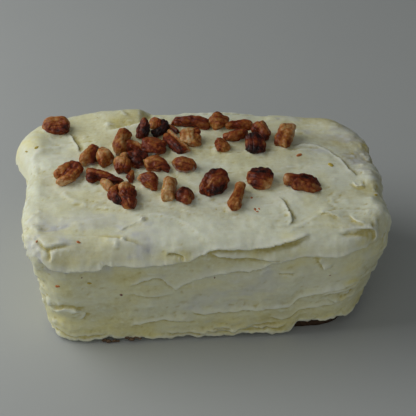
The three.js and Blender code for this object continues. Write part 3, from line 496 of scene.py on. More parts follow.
# Flecks in the icing: place, size and kind.
Fleck = namedtuple("Fleck", "at size kind")
FLECKS = (
    Fleck((-51.2, -38.7, 29.3), 2.0, "carrot"),
    Fleck((-40.6, -38.9, 30.3), 1.6, "zest"),
    Fleck((-29.7, -38.4, 24.2), 1.3, "spice"),
    Fleck((-42.8, -39.1, 33.3), 0.8, "spice"),
    Fleck((-43.7, -35.5, 45.8), 1.5, "carrot"),
    Fleck((-57.3, -33.8, 45.4), 0.9, "carrot"),
    Fleck((35, 6.9, 46.3), 2.6, "carrot"),
    Fleck((45.8, 1, 46.5), 2.6, "zest"),
    Fleck((16.8, -22.6, 46.8), 1.4, "carrot"),
    Fleck((18.0, -22.9, 46.8), 0.9, "carrot"),
    Fleck((17.2, -24.4, 46.8), 1.0, "carrot"),
    Fleck((15.8, -16.7, 46.9), 1.1, "carrot"),
    Fleck((3.7, -22.3, 46.8), 0.8, "zest"),
    Fleck((-61.9, 15.7, 44.9), 1.4, "zest"),
    Fleck((-58.4, 15.1, 46.7), 1.6, "zest"),
    Fleck((13.1, -36.5, 4.8), 0.9, "carrot"),
    Fleck((49.5, -35.4, 19.5), 1.3, "zest"),
    Fleck((59.5, -16.1, 45.8), 1.4, "zest"),
    Fleck((1.8, -38.9, 30.4), 0.8, "spice"),
    Fleck((41.5, -38.9, 30), 0.9, "spice"),
)
LOOSE_FLECKS = 18
LOOSE_SEED = 5
LOOSE_SIZES = (0.4, 1.1)
LOOSE_OVER, LOOSE_BEHIND = 5, 5  # they lie over this height and behind this line
FLECK_WIDTHS, FLECK_THICKNESS = (0.2, 0.35), 0.16  # shares of a fleck's size
FLECK_KINDS = {
    "carrot": (0.62, 0.20, 0.045, 1),
    "zest": (0.62, 0.47, 0.06, 1),
    "spice": (0.28, 0.12, 0.07, 1),
}

# Crumbs of sponge along the foot of the front: place and size.
CRUMB_COLOUR = (0.22, 0.14, 0.085, 1)
CARROT_BITS = (0.55, 0.17, 0.02, 1)  # colour of the bits of carrot in the sponge
CRUMB_DEPTH, CRUMB_HEIGHT = 0.35, 0.32  # shares of a crumb's size
CRUMBS = (
    ((-36.6, -36.6, 0.9), 1.6),
    ((-35.2, -36.9, 0.7), 2.2),
    ((-33.2, -36.8, 0.6), 1.8),
    ((-31.7, -36.9, 0.8), 1.3),
    ((-28.6, -36.6, 1.9), 1.7),
    ((-27.0, -36.9, 1.3), 2.4),
    ((-25.4, -36.7, 2.0), 1.9),
    ((-24.0, -36.8, 1.4), 1.2),
)

# The light and the camera, in metres.
Lamp = namedtuple("Lamp", "name place size power colour")
LAMPS = (
    Lamp("window", (-0.43, 0.09, 0.345), 0.5, 2.1, (1.0, 1.0, 1.0)),
    Lamp("fill", (-0.1, -1.0, 0.6), 1.6, 2.8, (1.0, 0.985, 0.94)),
)
ROOM_COLOUR = (0.9, 0.95, 1, 1)
ROOM_STRENGTH = 0.12
FLOOR_HALF = 4.0
FLOOR_ROUGHNESS = 0.5
CAMERA_TARGET = (0.004, 0.0365, 0.0)
LENS, SENSOR = 129.8, 36  # millimetres
CLIP_START = 0.05


def colour_setting(name, description, default):
    """A colour that a user would change."""
    return FloatVectorProperty(name=name, description=description, subtype="COLOR", size=4,
                               min=0, max=1, default=default)


class CakeSettings(PropertyGroup):
    """Sizes and colours of the loaf that a user would change."""

    lip_scale: FloatProperty(
        name="Lip height", description="How far the knife's lips stand out, as a share",
        default=1.0, min=0.0, max=1.5, subtype="FACTOR")
    grain: FloatProperty(
        name="Icing grain", description="Height of the finest lumps in the icing",
        default=0.00006, min=0.0, max=0.0005, unit="LENGTH")
    seed: IntProperty(
        name="Swipe seed", description="Seed of the broad, low swipes in the icing",
        default=LAID_SEED, min=0)
    icing_colour: colour_setting(
        "Icing", "Colour of the icing where it lies thick", (0.79, 0.815, 0.625, 1))
    # painted shade: this darker, warmer colour is laid in creases, under lips and in the shaded
    # patches; random mottle uses it too
    shade_and_mottle_colour: colour_setting(
        "Icing in hollows", "Warmer colour of the icing in its hollows", (0.53, 0.45, 0.14, 1))
    # partly painted warm shade: this yellow is also laid in slits, under lips and low on the sides
    butter_and_warm_shade_colour: colour_setting(
        "Buttery icing", "Yellower colour of the icing low down and in patches",
        (0.83, 0.77, 0.34, 1))
    # painted highlight: this whiter colour is laid on lips, crests, dabs and the lower edge, and
    # in random streaks
    highlight_colour: colour_setting(
        "Icing on crests", "Colour of the icing on thin lips and crests", (0.87, 0.89, 0.765, 1))
    # the thin colour is also painted shade in the patches at the back right
    thin_colour: colour_setting(
        "Thin icing", "Greyer colour where the sponge shows through the coat",
        (0.60, 0.61, 0.575, 1))
    # painted shade: the sponge's colour is darkened far below the crumbs' to stand for the shade
    # under the icing's edge
    shaded_sponge_colour: colour_setting(
        "Sponge", "Colour of the sponge's crumb", (0.09, 0.05, 0.028, 1))
    smear_colour: colour_setting(
        "Icing on nuts", "Thin icing smeared over the feet of the nuts", (0.60, 0.56, 0.52, 1))
    floor_colour: colour_setting("Floor", "Colour of the plain floor", (0.465, 0.483, 0.47, 1))
    camera_distance: FloatProperty(
        name="Camera distance", description="Distance of the camera from the point it looks at",
        default=0.588, min=0.2, unit="LENGTH")
    camera_rise: FloatProperty(
        name="Camera rise", description="Angle of the camera over the level",
        default=math.radians(39.0), subtype="ANGLE")
    camera_turn: FloatProperty(
        name="Camera turn", description="Angle of the camera round the loaf, to its right",
        default=math.radians(-3.2), subtype="ANGLE")


# ---------------------------------------------------------------------------------------------
# Numbers


def smooth(x, low, high):
    """Smooth step from 0 at low to 1 at high."""
    part = np.clip((x - low) / (high - low), 0, 1)
    return part * part * (3 - 2 * part)


def seeded(seed):
    """A repeatable stream of numbers in 0..1, the same as the solids draw from."""
    state = seed
    mask = 0xFFFFFFFF
    while True:
        state = (state + 0x6D2B79F5) & mask
        mixed = ((state ^ (state >> 15)) * (state | 1)) & mask
        mixed ^= (mixed + (((mixed ^ (mixed >> 7)) * (mixed | 61)) & mask)) & mask
        yield ((mixed ^ (mixed >> 14)) & mask) / 4294967296


def chance(least_and_more, random):
    """The least of a range, and what the next number of the stream adds to it."""
    least, more = least_and_more
    return least + more * next(random)


# Large odd numbers that scatter the bits of a place and its seed.
SCATTER_X, SCATTER_Y, SCATTER_Z = 374761393, 668265263, 2147483647
SCATTER_SEED, SCATTER_AGAIN = 974711, 1274126177


def lattice(cell, seed):
    """A fixed random number in -1..1 for each whole-numbered place."""
    x, y, z = cell.T
    mixed = x * SCATTER_X + y * SCATTER_Y + z * SCATTER_Z + seed * SCATTER_SEED
    mixed = (mixed ^ (mixed >> 13)) * SCATTER_AGAIN
    mixed = mixed ^ (mixed >> 16)
    return (mixed & 0xFFFF) / 32767.5 - 1


def lumpy(points, size, seed=0):
    """Smooth noise in about -1..1, with lumps of the given size."""
    place = points / size
    cell = np.floor(place).astype(np.int64)
    part = place - cell
    part = part * part * (3 - 2 * part)
    total = np.zeros(len(points))
    for corner in range(8):
        step = np.array([corner & 1, corner >> 1 & 1, corner >> 2 & 1])
        weight = np.prod(np.where(step, part, 1 - part), axis=1)
        total += weight * lattice(cell + step, seed)
    return total


def fractal(points, size, octaves, seed=0):
    """Noise in which each octave is half the size and half the height of the last."""
    total = np.zeros(len(points))
    for octave in range(octaves):
        total += lumpy(points, size / 2**octave, seed + octave) / 2**octave
    return total


def layered(points, layers):
    """Layers of noise laid over one another."""
    return sum(height * fractal(points * stretch, size, octaves, seed)
               for height, stretch, size, octaves, seed in layers)


def curve_points(path, per_span=3):
    """Points along a smooth curve through the given ones."""
    knots = np.array([path[0], *path, path[-1]], float)
    points = []
    for i in range(len(path) - 1):
        a, b, c, d = knots[i:i + 4]
        for part in np.arange(per_span) / per_span:
            points.append(0.5 * (2 * b + (c - a) * part + (2 * a - 5 * b + 4 * c - d) * part**2
                                 + (3 * b - a - 3 * c + d) * part**3))
    points.append(knots[-1])
    return np.array(points)


# ---------------------------------------------------------------------------------------------
# The loaf's form, in millimetres


def round_square(u, v):
    """Maps the unit square so that its outer two sides become a quarter circle."""
    return u * np.sqrt(1 - v * v / 2), v * np.sqrt(1 - u * u / 2)


def top_offset(x, y):
    """How far the loaf's top stands above or below its plain height at a place in plan."""
    dome = DOME * (1 - (x / HALF_LENGTH) ** 2) * (1 - (y / HALF_DEPTH) ** 2)
    shoulder = np.clip((x - SHOULDER_FROM) / SHOULDER_SPAN, 0, 1)
    shoulder = shoulder * np.clip(y / SHOULDER_DEPTH, 0, 1)
    along_back = smooth(-x, *BACK_RISE_STEP) * (1 - BACK_RISE_LOSS * smooth(-x, *BACK_RISE_FALL))
    return dome + BACK_RISE * smooth(y, *BACK_RISE_DEPTH) * along_back - SHOULDER * shoulder


def loaf_points(cube, inset=0.0):
    """The loaf's smooth form: points of the cube [-1, 1]^3 placed on it."""
    s, t, w = np.asarray(cube, float).T
    half_length = HALF_LENGTH - inset
    half_depth = HALF_DEPTH - inset
    height = HEIGHT - inset
    x = s * half_length
    y = t * half_depth
    to_end = half_length - np.abs(x)
    to_side = half_depth - np.abs(y)
    inward = np.minimum(to_end, to_side)
    nx = np.where(to_end < to_side, np.sign(x), 0.0)
    ny = np.where(to_end < to_side, 0.0, np.sign(y))
    for sign_x, sign_y, radius in CORNERS:
        radius = radius - inset
        u = (sign_x * s * half_length - (half_length - radius)) / radius
        v = (sign_y * t * half_depth - (half_depth - radius)) / radius
        here = (u > 0) & (v > 0)
        ru, rv = round_square(np.clip(u, 0, 1), np.clip(v, 0, 1))
        out = np.hypot(ru, rv) + 1e-9
        x = np.where(here, sign_x * (half_length - radius + radius * ru), x)
        y = np.where(here, sign_y * (half_depth - radius + radius * rv), y)
        inward = np.where(here, radius * (1 - out), inward)
        nx = np.where(here, sign_x * ru / out, nx)
        ny = np.where(here, sign_y * rv / out, ny)
    down = height * (1 - w) / 2
    u = np.clip(1 - inward / EDGE, 0, 1)
    v = np.clip(1 - down / EDGE, 0, 1)
    rolls = (u > 0) & (v > 0)
    ru, rv = round_square(u, v)
    shift = np.where(rolls, EDGE * (1 - ru) - inward, 0)
    x = x - nx * shift
    y = y - ny * shift
    down = np.where(rolls, EDGE * (1 - rv), down)
    level = 1 - down / height
    draw = np.clip(1 - level, 0, None) ** FOOT_POWER
    foot = np.where(x < 0, FOOT_IN_LEFT, FOOT_IN_RIGHT)
    x = x * (1 - foot / half_length * draw)
    y = y * (1 - FOOT_IN_DEPTH / half_depth * draw)
    y = y - np.where(y > 0, y / HALF_DEPTH * BACK_IN * (x / HALF_LENGTH + 1) / 2, 0)
    z = height - down + top_offset(x, y) * level**TOP_POWER
    return np.stack([x, y, z], axis=1)


def side_points(ways, w):
    """Points of the loaf's side, by their way round (0..4, from the front left corner)."""
    cube = []
    for way, level in zip(ways, w):
        side = int(way) % 4
        along = 2 * (way % 1) - 1
        cube.append(((along, -1), (1, along), (-along, 1), (-1, -along))[side] + (level,))
    return loaf_points(cube)


def top_points(x, y):
    """Points on the loaf's top."""
    return np.stack([x, y, HEIGHT + top_offset(x, y)], axis=1)


def rim_height(x, y):
    """Height of the icing's ragged lower edge at a place in plan."""
    opening = smooth(x, RIM_GAP_FROM, RIM_GAP_FROM + RIM_GAP_RAMP)
    gap = RIM_GAP_RISE * opening * smooth(RIM_GAP_TO - x, 0, RIM_GAP_FADE)
    ragged = np.sin(x * 0.9 + 2 * np.sin(y * 0.5)) * np.sin(y * 0.8 + 1 + x * 0.23)
    return RIM + RAGGED * (1 + ragged) * 0.5 + np.where(y < 0, gap, 0)


def side_swipes():
    """The long seeded swipes: nearly level paths round the sides."""
    random = seeded(SWIPE_SEED)
    parts = np.array([0, 0.25, 0.5, 0.75, 1])
    swipes = []
    for level in SWIPE_LEVELS:
        start = SWIPE_START * next(random)
        while start < 4:
            span = chance(SWIPE_SPAN, random)
            height = level + SWIPE_DRIFT * (next(random) - 0.5)
            slope = SWIPE_SLOPE * (next(random) - 0.5)
            rise = chance(SWIPE_RISE, random) * SIDE_SHARES[int(start + span / 2) % 4]
            wander = np.array([SWIPE_WANDER * (next(random) - 0.5) for _ in parts])
            levels = height + slope * (parts - 0.5) + wander
            gentle = chance(SWIPE_GENTLE, random)
            if levels.min() >= -1:  # one that would run under the foot is left out
                path = side_points((start + span * parts) % 4, levels)
                swipes.append(Stroke(path, rise, SWIPE_STEEP, gentle))
            start += span * chance(SWIPE_STEP, random)
    return swipes


def laid_swipes(seed):
    """Broad, low swipes: nearly level ones round the sides, and longer arcs over the top."""
    random = np.random.default_rng(seed)
    parts = np.linspace(0, 1, 5)
    swipes = []
    for _ in range(LAID_SIDE_COUNT):
        start = random.uniform(0, 4)
        span = random.uniform(0.1, 0.5) * random.choice([-1, 1])
        levels = (random.uniform(-0.95, 0.9) + random.uniform(-0.12, 0.12) * parts
                  + random.uniform(-0.06, 0.06) * np.sin(np.pi * parts))
        path = side_points((start + span * parts) % 4, np.clip(levels, -1, 0.98))
        share = LAID_SHARES[int(start + span / 2) % 4]
        swipes.append(Swipe(path, random.uniform(1.5, 5), random.uniform(0.1, 0.4) * share,
                            random.uniform(-0.15, 0.25) * share))
    for _ in range(LAID_TOP_COUNT):
        middle = np.array([random.uniform(-52, 52), random.uniform(-32, 32)])
        heading = random.normal(0, 0.4) + (math.pi if random.random() < 0.5 else 0)
        length = random.uniform(14, 46)
        bow = random.uniform(-0.2, 0.2) * length
        along = np.array([math.cos(heading), math.sin(heading)])
        across = np.array([-along[1], along[0]])
        plan = (middle + np.outer(parts - 0.5, along) * length
                + np.outer(np.sin(np.pi * parts), across) * bow)
        path = top_points(np.clip(plan[:, 0], -58, 58), np.clip(plan[:, 1], -36, 35))
        swipes.append(Swipe(path, random.uniform(2.5, 7), random.uniform(0.08, 0.3),
                            random.uniform(-0.12, 0.15)))
    return swipes


def follow(points, normals, path):
    """Where points lie beside a path: share along it, distance to its right, and that way."""
    best = np.full(len(points), np.inf)
    along = np.zeros(len(points))
    across = np.zeros(len(points))
    side = np.zeros_like(points)
    count = len(path) - 1
    for i in range(count):
        step = path[i + 1] - path[i]
        part = np.clip((points - path[i]) @ step / (step @ step), 0, 1)
        away = points - path[i] - part[:, None] * step
        distance = np.linalg.norm(away, axis=1)
        right = np.cross(step, normals)
        right /= np.linalg.norm(right, axis=1, keepdims=True) + 1e-9
        closer = distance < best
        best = np.where(closer, distance, best)
        along = np.where(closer, (i + part) / count, along)
        across = np.where(closer, distance * np.sign((away * right).sum(1)), across)
        side = np.where(closer[:, None], right, side)
    return along, across, side


def facing(normal_x):
    """How far a face belongs to one of the loaf's ends, from its normal's part along x."""
    return smooth(np.abs(normal_x), 0.35, 0.75)


def near_path(points, path, reach):
    """Which points lie in the box round a path."""
    return np.all((points > path.min(0) - reach) & (points < path.max(0) + reach), axis=1)


def ridge(across, outside, inside):
    """Profile of a lip: it falls over one distance outside its line and another inside it."""
    return np.exp(-((across / np.where(across > 0, outside, inside)) ** 2))


def lay_swipe(points, normals, swipe, wobble, height):
    """Smooths one swipe into the heights: streaks along it and a thin lip at each side."""
    path = curve_points(swipe.path)
    near = near_path(points, path, swipe.half + 2)
    if not near.any():
        return
    along, across, _ = follow(points[near], normals[near], path)
    length = np.linalg.norm(np.diff(path, axis=0), axis=1).sum()
    across = across + wobble[near]
    ends = smooth(along, 0, 0.12) * smooth(1 - along, 0, 0.05)
    cover = smooth(swipe.half - np.abs(across), -0.2, 0.5) * ends
    if cover.sum() < 1:
        return
    level = (height[near] * cover).sum() / cover.sum()
    place = np.stack([along * length / 16, across / 0.8, np.full(len(along), path[0, 0])], axis=1)
    streaks = 0.11 * lumpy(place, 1, SEED.streak)
    streaks += 0.06 * lumpy(place * (1.7, 2.3, 1), 1, SEED.streak_fine)
    target = level + swipe.lift + 0.12 * across / swipe.half + streaks
    height[near] += 0.75 * cover * (target - height[near])
    height[near] += swipe.rise * ends * ridge(across - swipe.half, 0.45, 1.5)
    height[near] += 0.4 * swipe.rise * ends * ridge(-across - swipe.half, 0.45, 1.2)


class Relief:
    """What strokes leave at each point: height, lean, and painted highlight and painted shade."""

    def __init__(self, count):
        self.height = np.zeros(count)
        self.lean = np.zeros((count, 3))
        self.crest_highlight = np.zeros(count)
        self.crease_shade = np.zeros(count)


def add_stroke(points, normals, stroke, wobble, relief):
    """Adds one stroke: a curled lip over a hollow, or a trough with one crisp side."""
    path = curve_points(stroke.path)
    near = near_path(points, path, 3 * max(stroke.steep, stroke.gentle))
    if not near.any():
        return
    along, across, side = follow(points[near], normals[near], path)
    across = across + wobble[near]
    length = np.linalg.norm(np.diff(path, axis=0), axis=1).sum()
    tail = min(0.3, STROKE_TAIL / length)
    fade = smooth(along, 0, tail) * smooth(1 - along, 0, tail)
    bold = fade * np.clip(1.6 * abs(stroke.rise), 0.3, 1)
    if stroke.rise > 0:
        steep = LIP_STEEP * stroke.steep
        layer = LIP_LAYER * ridge(across, steep, stroke.gentle)
        curl = LIP_CURL * ridge(across, steep, CURL_WIDTH)
        hollow = LIP_HOLLOW * ridge(across - HOLLOW_AT, HOLLOW_OUT, HOLLOW_IN)
        relief.height[near] += stroke.rise * fade * (layer + curl - hollow)
        relief.lean[near] += side * (LIP_LEAN * stroke.rise * fade * (layer + curl))[:, None]
        # painted highlight along the lip's edge, and painted shade in the hollow under it
        relief.crest_highlight[near] += bold * ridge(across + 0.3, 0.4, 0.9)
        crisp = min(1.15, 0.9 / stroke.steep)
        relief.crease_shade[near] += crisp * bold * ridge(across - 0.9, 0.9, 0.55)
    else:
        trough = ridge(across, stroke.steep, 0.6 * stroke.gentle)
        beside = across + 1.3 * stroke.gentle
        relief.height[near] += stroke.rise * fade * (trough - 0.3 * ridge(beside, 0.4, 2))
        # painted shade in the trough, and a painted highlight beside it
        relief.crease_shade[near] += bold * trough
        relief.crest_highlight[near] += 0.6 * bold * ridge(beside, 0.4, 0.7)


def waves(points):
    """Low waves all over the icing."""
    along_x, along_y, along_z = (points * WAVE_TURNS).T
    return WAVE_HEIGHT * np.sin(along_x + WAVE_SHIFT) * np.sin(along_y + along_z)


def tears(points):
    """Small torn places, here and there all over and close together at the upper ends."""
    x, y, z = points.T
    rough_end = smooth(x, 50, 60) * (0.3 + 0.7 * smooth(z, 30, 42))
    rough_end += 0.9 * smooth(-x, 50, 59) * smooth(-y, -32, 6)
    torn = smooth(lumpy(points, 9, SEED.tear), 0.1, 0.7) + rough_end
    spots = smooth(lumpy(points, 1.9, SEED.tear_fine), 0.1, 0.6) - TEAR_SINK
    height = (TEAR_HEIGHT + TEAR_HEIGHT_AT_ENDS * rough_end) * torn * spots
    return height + END_LUMPS * rough_end * lumpy(points, 3.6, SEED.end_lumps)


def drag_marks(points, ends):
    """Fine marks dragged along x, and on the loaf's ends along y."""
    along_x = lumpy(points * (DRAG_STRETCH, 1, 1), 1.0, SEED.drag)
    along_x += 0.6 * lumpy(points * (0.2, 1, 1), 0.6, SEED.drag_fine)
    along_y = lumpy(points * (1, DRAG_STRETCH, 1), 1.0, SEED.drag_ends)
    share = 0.6 + 0.4 * lumpy(points, 15, SEED.drag_share)
    return DRAG_HEIGHT * share * (along_x * (1 - ends) + along_y * ends)


def nut_collars(points, normals):
    """Icing pushed up round the pecans."""
    nearest = np.full(len(points), np.inf)
    upward = np.flatnonzero(normals[:, 2] > 0.7)
    plan = points[upward, :2]
    for pecan in PECANS:
        for x, y, z, radius, _ in pecan.lobes:
            if z - radius > 0.3:
                continue
            away = np.hypot(*(plan - pecan.at - (x, y)).T)
            nearest[upward] = np.minimum(nearest[upward], away - 0.8 * radius)
    pushed = NUT_COLLAR + NUT_COLLAR_VARIES * lumpy(points, 2.4, SEED.collar)
    return pushed * np.exp(-((np.maximum(nearest, 0) / NUT_COLLAR_WIDTH) ** 2))


def lip_distance(points, normals, strokes):
    """Distance of points from the nearest of the strokes' crisp lines."""
    nearest = np.full(len(points), np.inf)
    for stroke in strokes:
        path = curve_points(stroke.path)
        near = near_path(points, path, 4)
        if near.any():
            _, across, _ = follow(points[near], normals[near], path)
            nearest[near] = np.minimum(nearest[near], np.abs(across))
    return nearest


# ---------------------------------------------------------------------------------------------
# Meshes


def cube_shell(steps):
    """The cube [-1, 1]^3 without its underside, each face split into steps, as a bmesh."""
    along, across, up = steps
    quarter = math.pi / 2
    upright = Matrix.Rotation(quarter, 4, "X")
    shell = bmesh.new()
    bmesh.ops.create_grid(shell, x_segments=along, y_segments=across, size=1,
                          matrix=Matrix.Translation((0, 0, 1)))
    for turn, width in ((0, along), (1, across), (2, along), (3, across)):
        place = Matrix.Rotation(turn * quarter, 4, "Z") @ Matrix.Translation((0, -1, 0)) @ upright
        bmesh.ops.create_grid(shell, x_segments=width, y_segments=up, size=1, matrix=place)
    bmesh.ops.remove_doubles(shell, verts=shell.verts, dist=1e-5)
    return shell


def mesh_object(name, shell, smooth_faces=True):
    """A new object whose mesh is the given bmesh, which is freed."""
    mesh = bpy.data.meshes.new(name)
    shell.normal_update()
    shell.to_mesh(mesh)
    shell.free()
    if smooth_faces:
        mesh.shade_smooth()
    piece = bpy.data.objects.new(name, mesh)
    bpy.context.scene.collection.objects.link(piece)
    return piece


def read_points(mesh):
    """The places of a mesh's vertices."""
    points = np.empty(len(mesh.vertices) * 3)
    mesh.vertices.foreach_get("co", points)
    return points.reshape(-1, 3)


def read_normals(mesh):
    """The normals of a mesh's vertices."""
    normals = np.empty(len(mesh.vertices) * 3)
    mesh.vertices.foreach_get("normal", normals)
    return normals.reshape(-1, 3)


def write_points(mesh, points):
    """Moves a mesh's vertices to the given places."""
    mesh.vertices.foreach_set("co", points.ravel())
    mesh.update()


def write_mask(mesh, name, values):
    """Stores one number for each vertex, for a material to read."""
    layer = mesh.attributes.new(name, "FLOAT", "POINT")
    layer.data.foreach_set("value", np.asarray(values, np.float32))


def blurred(mesh, values, rounds):
    """Values averaged over the mesh's edges a number of times."""
    edges = np.empty(len(mesh.edges) * 2, np.int64)
    mesh.edges.foreach_get("vertices", edges)
    first, second = edges.reshape(-1, 2).T
    count = np.bincount(edges, minlength=len(values)) + 1
    for _ in range(rounds):
        total = values.copy()
        total += np.bincount(first, values[second], len(values))
        total += np.bincount(second, values[first], len(values))
        values = total / count
    return values


def finish_piece(piece, material, slot, *nodes):
    """Gives a piece its material and body, and hides the nodes it stands for; slot is not used."""
    piece.data.materials.append(material)
    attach(piece, BODY)
    if nodes:
        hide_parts(*nodes)


# ---------------------------------------------------------------------------------------------
# Materials


class Nodes:
    """Adds nodes to a tree, each linked to what feeds it."""

    def __init__(self, tree):
        self.tree = tree

    def feed(self, socket, value):
        """Links a socket to what feeds it, or sets it."""
        if isinstance(value, bpy.types.NodeSocket):
            self.tree.links.new(value, socket)
        else:
            socket.default_value = value

    def add(self, kind, inputs=(), **settings):
        """A new node with its settings and its inputs."""
        node = self.tree.nodes.new(kind)
        for name, value in settings.items():
            setattr(node, name, value)
        for name, value in dict(inputs).items():
            self.feed(node.inputs[name], value)
        return node

    def noise(self, vector, scale, detail=3.0, roughness=0.55):
        """Noise in 0..1, with about so many lumps in a millimetre."""
        node = self.add("ShaderNodeTexNoise", {"Vector": vector, "Scale": scale, "Detail": detail,
                                               "Roughness": roughness})
        return node.outputs["Fac"]

    def remap(self, value, low, high, to_low=0.0, to_high=1.0):
        """A value carried from one range to another, and held inside it."""
        node = self.add("ShaderNodeMapRange", {"Value": value, "From Min": low, "From Max": high,
                                               "To Min": to_low, "To Max": to_high})
        return node.outputs["Result"]

    def math(self, operation, a, b):
        """A sum, a product and so on of two values."""
        node = self.add("ShaderNodeMath", operation=operation)
        self.feed(node.inputs[0], a)
        self.feed(node.inputs[1], b)
        return node.outputs[0]

    def mix(self, factor, a, b):
        """Two colours mixed, from a alone at 0 to b alone at 1."""
        node = self.add("ShaderNodeMix", data_type="RGBA")
        for name, value in (("Factor_Float", factor), ("A_Color", a), ("B_Color", b)):
            self.feed(next(s for s in node.inputs if s.identifier == name), value)
        return next(s for s in node.outputs if s.identifier == "Result_Color")

    def mask(self, name):
        """What a mesh stores for each vertex under a name."""
        return self.add("ShaderNodeAttribute", attribute_name=name).outputs["Fac"]

    def stretched(self, scale):
        """Object coordinates in millimetres, drawn out by the given scale."""
        place = self.add("ShaderNodeTexCoord").outputs["Object"]
        sizes = tuple(1 / MM * share for share in scale)
        return self.add("ShaderNodeMapping", {"Vector": place, "Scale": sizes}).outputs["Vector"]

    def bump(self, height, distance, strength, normal=None):
        """The normal, raised by a height over another bump."""
        inputs = {"Height": height, "Distance": distance, "Strength": strength}
        if normal is not None:
            inputs["Normal"] = normal
        return self.add("ShaderNodeBump", inputs).outputs["Normal"]


def new_material(name, **constants):
    """A material with a Principled shader whose plain sockets are set."""
    material = bpy.data.materials.new(name)
    material.use_nodes = True
    shader = material.node_tree.nodes["Principled BSDF"]
    for socket, value in constants.items():
        shader.inputs[socket.replace("_", " ")].default_value = value
    return material, Nodes(material.node_tree), shader


def icing_material(settings):
    """Cream-cheese icing: soft, faintly sheer, with painted highlight on crests and warm painted
    shade in hollows, and greyer where it lies thin.
    """
    material, nodes, shader = new_material(
        "cream_cheese_icing", Subsurface_Weight=0.15, Subsurface_Scale=0.0007,
        Subsurface_Radius=(1.0, 0.85, 0.5), Specular_IOR_Level=0.35)
    wide = nodes.stretched((1, 1, 1))
    ends = nodes.mask("ends")
    streaks = []
    for scale in (1.1, 2.6):
        along_x = nodes.noise(nodes.stretched((DRAG_STRETCH, 1, 1)), scale)
        along_y = nodes.noise(nodes.stretched((1, DRAG_STRETCH, 1)), scale)
        sides = nodes.math("MULTIPLY", along_x, nodes.math("SUBTRACT", 1.0, ends))
        streaks.append(nodes.math("ADD", nodes.math("MULTIPLY", along_y, ends), sides))
    grain = nodes.noise(wide, scale=0.9, detail=4, roughness=0.6)
    mottle = nodes.noise(wide, scale=0.45, detail=4, roughness=0.65)
    speckle = nodes.noise(wide, scale=2.2, detail=4, roughness=0.65)
    butter_and_shade_grain = nodes.remap(grain, 0.35, 0.65, 0.85, 1.1)
    deep = nodes.remap(grain, 0.35, 0.65, 0.6, 1.0)
    colour = settings.icing_colour
    # laid over it: butter and warm painted shade, streaks, mottle, thin grey, painted highlight
    # and shade
    for share, over in (
            (nodes.math("MULTIPLY", nodes.mask("butter"), butter_and_shade_grain), settings.butter_and_warm_shade_colour),
            (nodes.remap(streaks[0], 0.45, 0.75, 0, 0.2), settings.thin_colour),
            (nodes.remap(mottle, 0.40, 0.68, 0, 0.22), settings.shade_and_mottle_colour),
            (nodes.mask("thin"), settings.thin_colour),
            (nodes.math("MULTIPLY", nodes.mask("crest_highlight"), 0.6), settings.highlight_colour),
            (nodes.math("MULTIPLY", nodes.mask("crease_shade"), deep), settings.shade_and_mottle_colour)):
        colour = nodes.mix(share, colour, over)
    nodes.feed(shader.inputs["Base Color"], colour)
    rough = nodes.remap(nodes.noise(wide, scale=0.35), 0.3, 0.7, 0.42, 0.62)
    nodes.feed(shader.inputs["Roughness"], rough)
    normal = nodes.bump(streaks[0], distance=0.00016, strength=0.5)
    normal = nodes.bump(streaks[1], distance=0.00008, strength=0.5, normal=normal)
    normal = nodes.bump(grain, distance=0.0001, strength=0.6, normal=normal)
    normal = nodes.bump(speckle, distance=settings.grain * 2, strength=0.7, normal=normal)
    nodes.feed(shader.inputs["Normal"], normal)
    return material


def shaded(colour, share):
    """A colour darkened to a share of itself."""
    return (*(share * part for part in colour[:3]), 1)


def sponge_material(name, colour):
    """Moist open crumb, with darker pores and bits of carrot."""
    material, nodes, shader = new_material(name, Roughness=0.85, Specular_IOR_Level=0.2)
    wide = nodes.stretched((1, 1, 1))
    crumb = nodes.noise(wide, scale=0.8, detail=5, roughness=0.65)
    colour = nodes.mix(nodes.remap(crumb, 0.35, 0.65), shaded(colour, 0.45), colour)
    carrot = nodes.remap(nodes.noise(wide, scale=0.45, detail=2), 0.66, 0.70)
    nodes.feed(shader.inputs["Base Color"], nodes.mix(carrot, colour, CARROT_BITS))
    nodes.feed(shader.inputs["Normal"], nodes.bump(crumb, distance=0.0006, strength=0.8))
    return material


# The nuts' colours from the darkest tone to the palest, and the tones at which each is reached.
NUT_COLOURS = {
    "Black": (0.016, 0.004, 0.003, 1),
    "Deep skin": (0.080, 0.012, 0.004, 1),
    "Skin": (0.19, 0.030, 0.006, 1),
    "Toasted": (0.35, 0.125, 0.024, 1),
    "Flesh": (0.50, 0.26, 0.095, 1),
    "Cream": (0.66, 0.50, 0.28, 1),
}
NUT_TONES = (0.0, 0.16, 0.36, 0.55, 0.72, 0.92)
ROASTS = {
    "pecan_dark": (0.90, 0.88, 0.95),
    "pecan_red": (1.0, 0.92, 0.90),
    "pecan_caramel": (1.0, 1.0, 1.0),
    "pecan_pale": (1.0, 1.05, 1.08),
}


